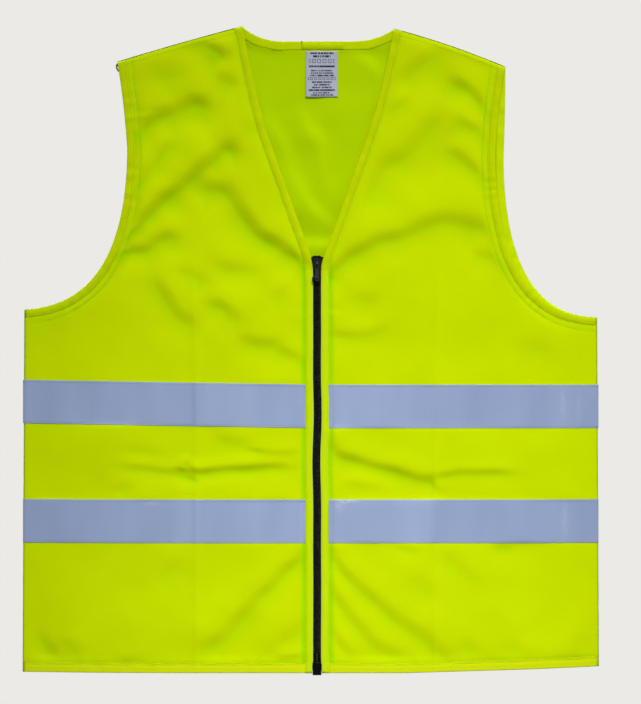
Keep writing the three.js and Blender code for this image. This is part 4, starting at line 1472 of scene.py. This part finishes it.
def seam_ridge(name, path, node, material):
    """The sewn edge where the front and back meet: a flattened cord on the garment's middle plane."""
    path = resampled(path, TRIM_STEP)
    across = side_vectors(path, 1)
    along = lengths_along(path)
    thick = line_noise(41, 26)(along)
    angles = circle(14)
    points = []
    for angle in angles:
        offset = across * (math.cos(angle) * (SEAM_HALF_WIDTH * (1 + 0.05 * thick)))[:, None]
        depth = math.sin(angle) * SEAM_HALF_DEPTH * (1 + 0.08 * thick)
        points.append(np.stack([path[:, 0] + offset[:, 0], depth, path[:, 1] + offset[:, 1]], axis=1))
    points = np.stack(points, axis=1)
    uvs = tube_uvs(along, angles * SEAM_HALF_WIDTH)
    piece = make_object(name, points.reshape(-1, 3), tube_faces(*points.shape[:2], turned=True), uvs)
    dress(piece, material)
    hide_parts(node)
    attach(piece, "vest_body")
    return keep_with(piece, "back")


SHOULDER_STITCH_DROP = 5.5
for half in HALVES:
    name = half.name
    seam_ridge(f"seam_side_{name}", side_edge(half), f"side_seam_{name}", seam_material)
    seam_ridge(f"seam_shoulder_{name}", shoulder_edge(half), f"shoulder_seam_{name}", shoulder_seam_material)
    # the shoulder seam is stitched down on both faces, and each armhole again inside its binding
    line = resampled(shoulder_edge(half), TRIM_STEP)[3:-4] - (0, SHOULDER_STITCH_DROP)
    for label, face, edge, panel_name in (
        ("front", front, armhole_edge(half), name),
        ("back", back, back_armhole_edge(half), "back"),
    ):
        run = yellow_run(f"shoulder_{label}_{name}", face, line, CLOTH_STITCH_LIFT, radius=0.2, seed=51)
        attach(keep_with(run, panel_name), "vest_body")
        edge = resampled(edge, TRIM_STEP)[6:-8]
        inside = edge + side_vectors(edge, -half.sign) * SECOND_STITCH_LINE
        run = yellow_run(f"armhole_{label}_{name}", face, inside, CLOTH_STITCH_LIFT, seed=53)
        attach(keep_with(run, panel_name), "vest_body")


def thread_end(name, points, radius, panel_name):
    """A loose end of overlocking thread: a crinkled cord through the points, thinning towards its tip."""
    points = np.array(points, float)
    share = np.linspace(0, 1, 40)
    at = np.linspace(0, 1, len(points))
    spine = np.stack([np.interp(share, at, points[:, k]) for k in range(3)], axis=1)
    crinkle = np.stack([np.sin(share * 37), np.cos(share * 43), np.sin(share * 51 + 1)], axis=1)
    spine += 0.35 * radius * crinkle
    tangent = unit(np.gradient(spine, axis=0))
    first = unit(np.cross(tangent, (0.0, 1.0, 0.0)))
    second = np.cross(tangent, first)
    thick = radius * (1 - 0.5 * share**3) * (1 + 0.22 * np.sin(share * 70))
    rings = [spine + thick[:, None] * (first * math.cos(a) + second * math.sin(a)) for a in circle(10)]
    points = np.stack(rings, axis=1)
    piece = make_object(name, points.reshape(-1, 3), tube_faces(*points.shape[:2], turned=True))
    dress(piece, thread_green)
    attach(keep_with(piece, panel_name), "vest_body")


tip_x, tip_z = RIGHT.shoulder_tip
shoulder_end = [
    (tip_x + 2.0, -1.0, tip_z - 1.0), (tip_x - 0.6, -1.6, tip_z - 3.0), (tip_x - 1.0, -1.4, tip_z - 6.5),
    (tip_x + 0.6, -1.0, tip_z - 9.5), (tip_x + 2.4, -1.2, tip_z - 11.0),
]
thread_end("thread_end_shoulder", shoulder_end, 0.95, "right")
neck_end = [(-17.6, 2.0, -21.0), (-17.9, 1.6, -18.2), (-17.6, 1.5, -17.0), (-17.9, 1.5, -16.2)]
thread_end("thread_end_neck", neck_end, 0.45, "back")

# ---- Reflective bands ----------------------------------------------------------------------------

BAND_LIFT = 0.42
BAND_THICKNESS = 0.3
BAND_COLUMN_STEP = 1.5
BAND_EDGE_ROWS = np.array([0, 0.4, 1.0, 2.2, 3.2])
BAND_MIDDLE_START, BAND_MIDDLE_ROWS = 5, 14
# The rows of the grid that the two runs of stitches follow, and how far the thread lies above the band.
BAND_STITCH_ROWS = {"top": 3, "foot": -4}
BAND_STITCH_LIFT = 0.1


def band_grid(low, high, index, top):
    """Places of a band, with close rows along both edges."""
    xs = np.linspace(low, high, int((high - low) / BAND_COLUMN_STEP) + 2)
    middle = np.linspace(BAND_MIDDLE_START, BAND_WIDTH - BAND_MIDDLE_START, BAND_MIDDLE_ROWS)
    downs = np.concatenate([BAND_EDGE_ROWS, middle, BAND_WIDTH - BAND_EDGE_ROWS[::-1]])
    x, down = np.meshgrid(xs, downs)
    rise = np.where(x < 0, band_rise(RIGHT, index, x), band_rise(LEFT, index, x))
    return x, top + rise - down


def band(name, face, low, high, index, top, nodes):
    """A reflective band and the stitches along its two edges."""
    x, z = band_grid(low, high, index, top)
    piece = cloth_sheet(name, face, x, z, thickness=BAND_THICKNESS, lift=BAND_LIFT)
    dress(piece, reflective)
    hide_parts(*nodes)
    runs = []
    for label, row in BAND_STITCH_ROWS.items():
        line = np.stack([x[row], z[row]], axis=1)
        run = stitches(f"stitches_{name}_{label}", face, line, BAND_LIFT + BAND_STITCH_LIFT)
        runs.append(dress(run, thread_grey))
    return piece, runs


for index, (level, top) in enumerate(BAND_TOPS.items()):
    for half in HALVES:
        ends = sorted((half.sign * BAND_START, half.hem_corner[0] + half.sign * 0.4))
        nodes = [f"reflective_band_{level}_{half.name}_{part}" for part in ("side", "leaf")]
        piece, runs = band(f"band_{level}_front_{half.name}", front, *ends, index, top, nodes)
        for part in (piece, *runs):
            bend_with(part)
    ends = (RIGHT.hem_corner[0] + 0.8, LEFT.hem_corner[0] - 0.8)
    piece, runs = band(f"band_{level}_back", back, *ends, index, top, [f"reflective_band_{level}_back"])
    for part in (piece, *runs):
        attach(part, "vest_body")

# ---- Zip -----------------------------------------------------------------------------------------

TOOTH_PITCH = 2.9
TAPE_INNER = 0.4
TAPE_OUTER = 14.5
TAPE_FOOT = -731.7
TAPE_ROWS = 160
# Where the tapes draw together, and how far each then stays from the middle: they just overlap at the head.
HEAD_GAP, HEAD_LENGTH, HEAD_EASE = -0.02, 9, 3
FOOT_GAP, FOOT_EASE = 0.05, 1.5
TAPE_ARCH = 1.5
TAPE_ARCH_HALF_WIDTH = 8.0
TAPE_ARCH_DEPTH = 6


def placket(half):
    """The narrow folded strip beside the teeth. It rises out from under the end of the neck binding."""
    path = resampled(placket_edge(half), 2.0)
    path[:, 0] += zip_wave(path[:, 1])
    width = PLACKET_OUTER - PLACKET_INNER
    profile = [
        (width, 0.02), (width - 0.3, 0.42), (width - 1.3, 0.62), (width - PLACKET_STITCH_LINE, 0.5),
        (width - 2.8, 0.7), (width * 0.4, 0.8), (1.9, 0.56), (1.0, 0.48), (0.2, 0.25), (-0.1, -0.2),
        (0.2, -0.9), (1.2, -1.25), (width - 0.4, -1.2), (width, -0.93),
    ]
    dive = (PLACKET_DIVE, 0.0)
    piece = strip(f"placket_{half.name}", front, path, half.sign, profile, wobble=0.02, seed=61, sink=dive)
    dress(piece, placket_material)
    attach(piece, f"{half.name}_front")
    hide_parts(f"zip_placket_{half.name}")
    keep_with(piece, half.name)
    line = path + side_vectors(path, half.sign) * (width - PLACKET_STITCH_LINE)
    run = yellow_run(f"placket_{half.name}", front, line[14:], PLACKET_STITCH_LIFT, seed=63)
    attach(keep_with(run, half.name), f"{half.name}_front")


def zip_tape(half):
    """The woven tape of one side. It comes up to the other one at its head and beside the pins."""
    z = np.linspace(ZIP_TOP, TAPE_FOOT, TAPE_ROWS)
    x = half.sign * TAPE_INNER + zip_wave(z)
    x -= half.sign * (TAPE_INNER - HEAD_GAP) * np.clip((z - ZIP_TOP + HEAD_LENGTH) / HEAD_EASE, 0, 1)
    x -= half.sign * (TAPE_INNER - FOOT_GAP) * np.clip((TEETH_FOOT + 0.5 - z) / FOOT_EASE, 0, 1)
    path = np.stack([x, z], axis=1)
    width = TAPE_OUTER - TAPE_INNER
    profile = [
        (width, -1.75), (width - 0.3, -1.5), (2.6, -1.45), (1.7, -1.0), (0.8, -0.95), (0.1, -1.4),
        (0.1, -1.9), (0.9, -2.3), (1.8, -2.2), (2.6, -1.95), (width - 0.3, -1.95),
    ]
    piece = strip(f"zip_tape_woven_{half.name}", front, path, half.sign, profile, wobble=0.01, seed=65)
    # the top ends of the two tapes make an arch
    for vertex in piece.data.vertices:
        below = (ZIP_TOP * MM - vertex.co.z) / (TAPE_ARCH_DEPTH * MM)
        aside = vertex.co.x / (TAPE_ARCH_HALF_WIDTH * MM)
        vertex.co.z -= max(0.0, 1.0 - below) * TAPE_ARCH * MM * aside**2
    dress(piece, zip_tape_material)
    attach(piece, f"{half.name}_front")
    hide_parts(f"zip_tape_{half.name}")


TOOTH_OUTLINE = [
    (3.9, 1.0), (2.7, 1.05), (2.2, 0.62), (1.3, 0.5), (0.9, 0.92), (0.1, 1.0), (-0.45, 0.62), (-0.6, 0.0),
]
TOOTH_MIDDLE = np.array([1.7, 0.0])
# How far inside the ends of the row the middles of the first and the last tooth are.
FIRST_TOOTH, LAST_TOOTH = 1.2, 1.0
TOOTH_LAYERS = [(-2.75, 0.72), (-2.55, 1.0), (-0.85, 1.0), (-0.6, 0.86), (-0.42, 0.42)]


def zip_teeth(half):
    """Moulded teeth in one row, whose heads lock between those of the other row."""
    outline = np.array(TOOTH_OUTLINE + [(x, -z) for x, z in reversed(TOOTH_OUTLINE[:-1])])
    offset = 0.0 if half is RIGHT else TOOTH_PITCH / 2
    heights = np.arange(TEETH_TOP - FIRST_TOOTH - offset, TEETH_FOOT + LAST_TOOTH, -TOOTH_PITCH)
    points = []
    for lift, size in TOOTH_LAYERS:
        ring = TOOTH_MIDDLE + (outline - TOOTH_MIDDLE) * size
        z = heights[:, None] + ring[None, :, 1]
        x = half.sign * np.broadcast_to(ring[None, :, 0], z.shape) + zip_wave(z)
        points.append(front.point(x, z, np.full(x.shape, lift)))
    points = np.stack(points, axis=1)
    count, layers, sides = points.shape[:3]
    faces = repeated(tube_faces(layers, sides), count, layers * sides)
    piece = make_object(f"zip_teeth_moulded_{half.name}", points.reshape(-1, 3), faces, smooth=False)
    dress(piece, tooth_material)
    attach(piece, f"{half.name}_front")
    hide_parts(f"zip_teeth_{half.name}")


for half in HALVES:
    placket(half)
    zip_tape(half)
    zip_teeth(half)


BEVEL_ANGLE = 40


def dress_cad(node, material, bevel):
    """A CAD node that is shown as it is, with its edges rounded."""
    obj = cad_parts[node]
    dress(obj, material)
    rounding = obj.modifiers.new("rounded_edges", "BEVEL")
    rounding.width = bevel * MM
    rounding.segments = 2
    rounding.limit_method = "ANGLE"
    rounding.angle_limit = math.radians(BEVEL_ANGLE)
    return obj


for node in ("zip_top_stop_right", "zip_top_stop_left", "zip_insertion_pin", "zip_box_pin"):
    dress_cad(node, tooth_material, 0.2)
dress_cad("zip_retainer_box", tooth_material, 0.45)
dress_cad("zip_slider_body", slider_material, 0.25)
dress_cad("zip_slider_bridge", tab_material, 0.2)
dress_cad("zip_pull_tab", tab_material, 0.22)

TAB_LUG_OUTLINE = [
    (-1.9, -287.4), (-3.8, -287.6), (-5.2, -288.6), (-5.8, -290.0), (-5.8, -292.2), (-5.2, -293.6),
    (-4.2, -294.2), (-3.4, -292.8), (-3.4, -290.6), (-1.9, -289.8),
]


def tab_lug():
    """The small hook on the side of the pull tab, lying over the edge of the placket."""
    outline = np.array(TAB_LUG_OUTLINE)
    middle = outline.mean(axis=0)
    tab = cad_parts["zip_pull_tab"]
    tab_front = min((tab.matrix_world @ Vector(corner)).y for corner in tab.bound_box) / MM
    outer_y, inner_y = tab_front + 0.3, tab_front + 1.3
    points = []
    for y, size in ((outer_y, 0.8), (outer_y + 0.2, 1.0), (inner_y - 0.2, 1.0), (inner_y, 0.8)):
        ring = middle + (outline - middle) * size
        points.append(np.stack([ring[:, 0], np.full(len(ring), y), ring[:, 1]], axis=1))
    points = np.stack(points)
    faces = tube_faces(*points.shape[:2])
    piece = make_object("zip_tab_lug", points.reshape(-1, 3), faces, smooth=False)
    dress(piece, slider_material)
    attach(piece, "pull_tab")


tab_lug()

# ---- Care label and the join in the neck binding ---------------------------------------------------


def care_label():
    """A satin label hanging inside the back of the neck, with its foot curling forwards a little."""
    x, down = np.meshgrid(np.linspace(LABEL_RIGHT_X, LABEL_LEFT_X, 26), np.linspace(0, LABEL_LENGTH, 36))
    z = LABEL_TOP - down
    share = down / LABEL_LENGTH
    across = (x - LABEL_RIGHT_X) / (LABEL_LEFT_X - LABEL_RIGHT_X)
    curl = 0.35 + 0.9 * share**2 + 0.5 * share * np.sin(across * 5.2 + 0.6)
    outer = back.point(x, z, -CLOTH_THICKNESS - curl)
    inner = back.point(x, z, -CLOTH_THICKNESS - curl - LABEL_THICKNESS)
    uvs = np.stack([x.ravel(), z.ravel()], axis=1)
    points = np.concatenate([outer.reshape(-1, 3), inner.reshape(-1, 3)])
    piece = make_object("label_satin", points, two_sided(*x.shape, True), np.concatenate([uvs, uvs]))
    dress(piece, label_material())
    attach(piece, "care_label")
    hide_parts("care_label")
    return piece


label = care_label()

# The end of the back neck binding is laid over its start.
join_path = np.array([(-17.5, -18.2), (30.0, -18.2)])
join_profile = [
    (0.0, -1.6), (0.2, -1.95), (3.9, -2.15), (7.6, -2.05), (8.0, -1.65), (7.6, -1.5), (0.2, -1.5),
]
join = strip("binding_neck_join", back, join_path, -1, join_profile, 2.0, wobble=0.02, seed=71)
dress(join, binding_material)
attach(keep_with(join, "back"), "vest_body")
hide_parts("neck_binding_join")

# ---- Stage, light and camera -----------------------------------------------------------------------

BACKDROP = (0.831, 0.823, 0.791)
FLOOR_Z = -1.3
FLOOR_RADIUS = 5.0
FLOOR_GLOW = 0.62
AMBIENT = 0.275
AMBIENT_COLOUR = (0.86, 1.0, 0.96)


def floor():
    """A pale floor well below the vest, fading out at its rim into the backdrop."""
    rings, sides = 12, 64
    radii = np.linspace(0, FLOOR_RADIUS, rings)[1:]
    points = [(0.0, 0.0, FLOOR_Z)]
    points += [(r * math.cos(a), r * math.sin(a), FLOOR_Z) for r in radii for a in circle(sides)]
    faces = [(0, 1 + k, 1 + (k + 1) % sides) for k in range(sides)]
    for ring in range(len(radii) - 1):
        a = 1 + ring * sides
        for k in range(sides):
            n = (k + 1) % sides
            faces.append((a + k, a + sides + k, a + sides + n, a + n))
    obj = make_object("studio_floor", np.array(points) / MM, faces)
    s = Shader("studio_floor", 0.9, Specular_IOR_Level=0.0, Emission_Strength=FLOOR_GLOW)
    place = s.add("ShaderNodeTexCoord").outputs["Object"]
    cloud = s.noise(place, 0.8, 2.0)
    colour = s.blend_colours(cloud, (0.78, 0.77, 0.74), (0.82, 0.81, 0.78))
    s.finish(colour)
    s.feed(s.main.inputs["Emission Color"], colour)
    reach = s.add("ShaderNodeVectorMath", {0: place}, operation="LENGTH").outputs["Value"]
    fade = s.spread(reach, FLOOR_RADIUS * 0.45, FLOOR_RADIUS * 0.98)
    clear = s.add("ShaderNodeBsdfTransparent")
    mix = s.add("ShaderNodeMixShader", {0: fade, 1: s.main.outputs[0], 2: clear.outputs[0]})
    s.links.new(mix.outputs[0], s.nodes["Material Output"].inputs["Surface"])
    obj.data.materials.append(s.material)
    # it is seen, and shadows fall on it, but it throws no light back up at the vest
    obj.visible_diffuse = False
    obj.visible_glossy = False


def studio_world():
    """The backdrop as the camera sees it, and a dimmer even light on the vest."""
    world = bpy.data.worlds.new("studio")
    bpy.context.scene.world = world
    world.use_nodes = True
    nodes, links = world.node_tree.nodes, world.node_tree.links
    nodes.clear()
    seen = nodes.new("ShaderNodeBackground")
    seen.inputs["Color"].default_value = (*BACKDROP, 1.0)
    lit = nodes.new("ShaderNodeBackground")
    lit.inputs["Color"].default_value = (*AMBIENT_COLOUR, 1.0)
    lit.inputs["Strength"].default_value = AMBIENT
    which = nodes.new("ShaderNodeLightPath")
    mix = nodes.new("ShaderNodeMixShader")
    out = nodes.new("ShaderNodeOutputWorld")
    links.new(which.outputs["Is Camera Ray"], mix.inputs[0])
    links.new(lit.outputs[0], mix.inputs[1])
    links.new(seen.outputs[0], mix.inputs[2])
    links.new(mix.outputs[0], out.inputs["Surface"])


def softbox(name, location, target, size, power, beam_degrees):
    """A rectangular lamp that the camera doesn't see."""
    light = bpy.data.lights.new(name, "AREA")
    light.shape = "RECTANGLE"
    light.size, light.size_y = size
    light.energy = power
    light.spread = math.radians(beam_degrees)
    obj = bpy.data.objects.new(name, light)
    bpy.context.scene.collection.objects.link(obj)
    obj.location = location
    obj.rotation_mode = "QUATERNION"
    obj.rotation_quaternion = (Vector(target) - obj.location).to_track_quat("-Z", "Y")
    obj.visible_camera = False


floor()
studio_world()
softbox("key", (1.03, -4.60, 4.55), (0.08, 0.0, -0.75), (1.2, 1.2), 5.65, beam_degrees=14.8)
softbox("back_light", (-1.6, 4.4, 3.6), (0.0, 0.0, -0.5), (2.0, 2.0), 16, beam_degrees=30)

CAMERA_PLACE = (0.004, -6.0, -0.375)
VEST_FRONT_Y = -0.015
FRAME_HEIGHT = 0.8096
SENSOR_WIDTH = 36.0
camera = bpy.data.cameras.new("camera")
camera.sensor_width = SENSOR_WIDTH
camera.lens = SENSOR_WIDTH * (VEST_FRONT_Y - CAMERA_PLACE[1]) / FRAME_HEIGHT
camera.clip_end = 60.0
camera_object = bpy.data.objects.new("camera", camera)
bpy.context.scene.collection.objects.link(camera_object)
camera_object.location = CAMERA_PLACE
camera_object.rotation_euler = (math.radians(90), 0.0, 0.0)
bpy.context.scene.camera = camera_object
bpy.context.scene.view_settings.view_transform = "Standard"
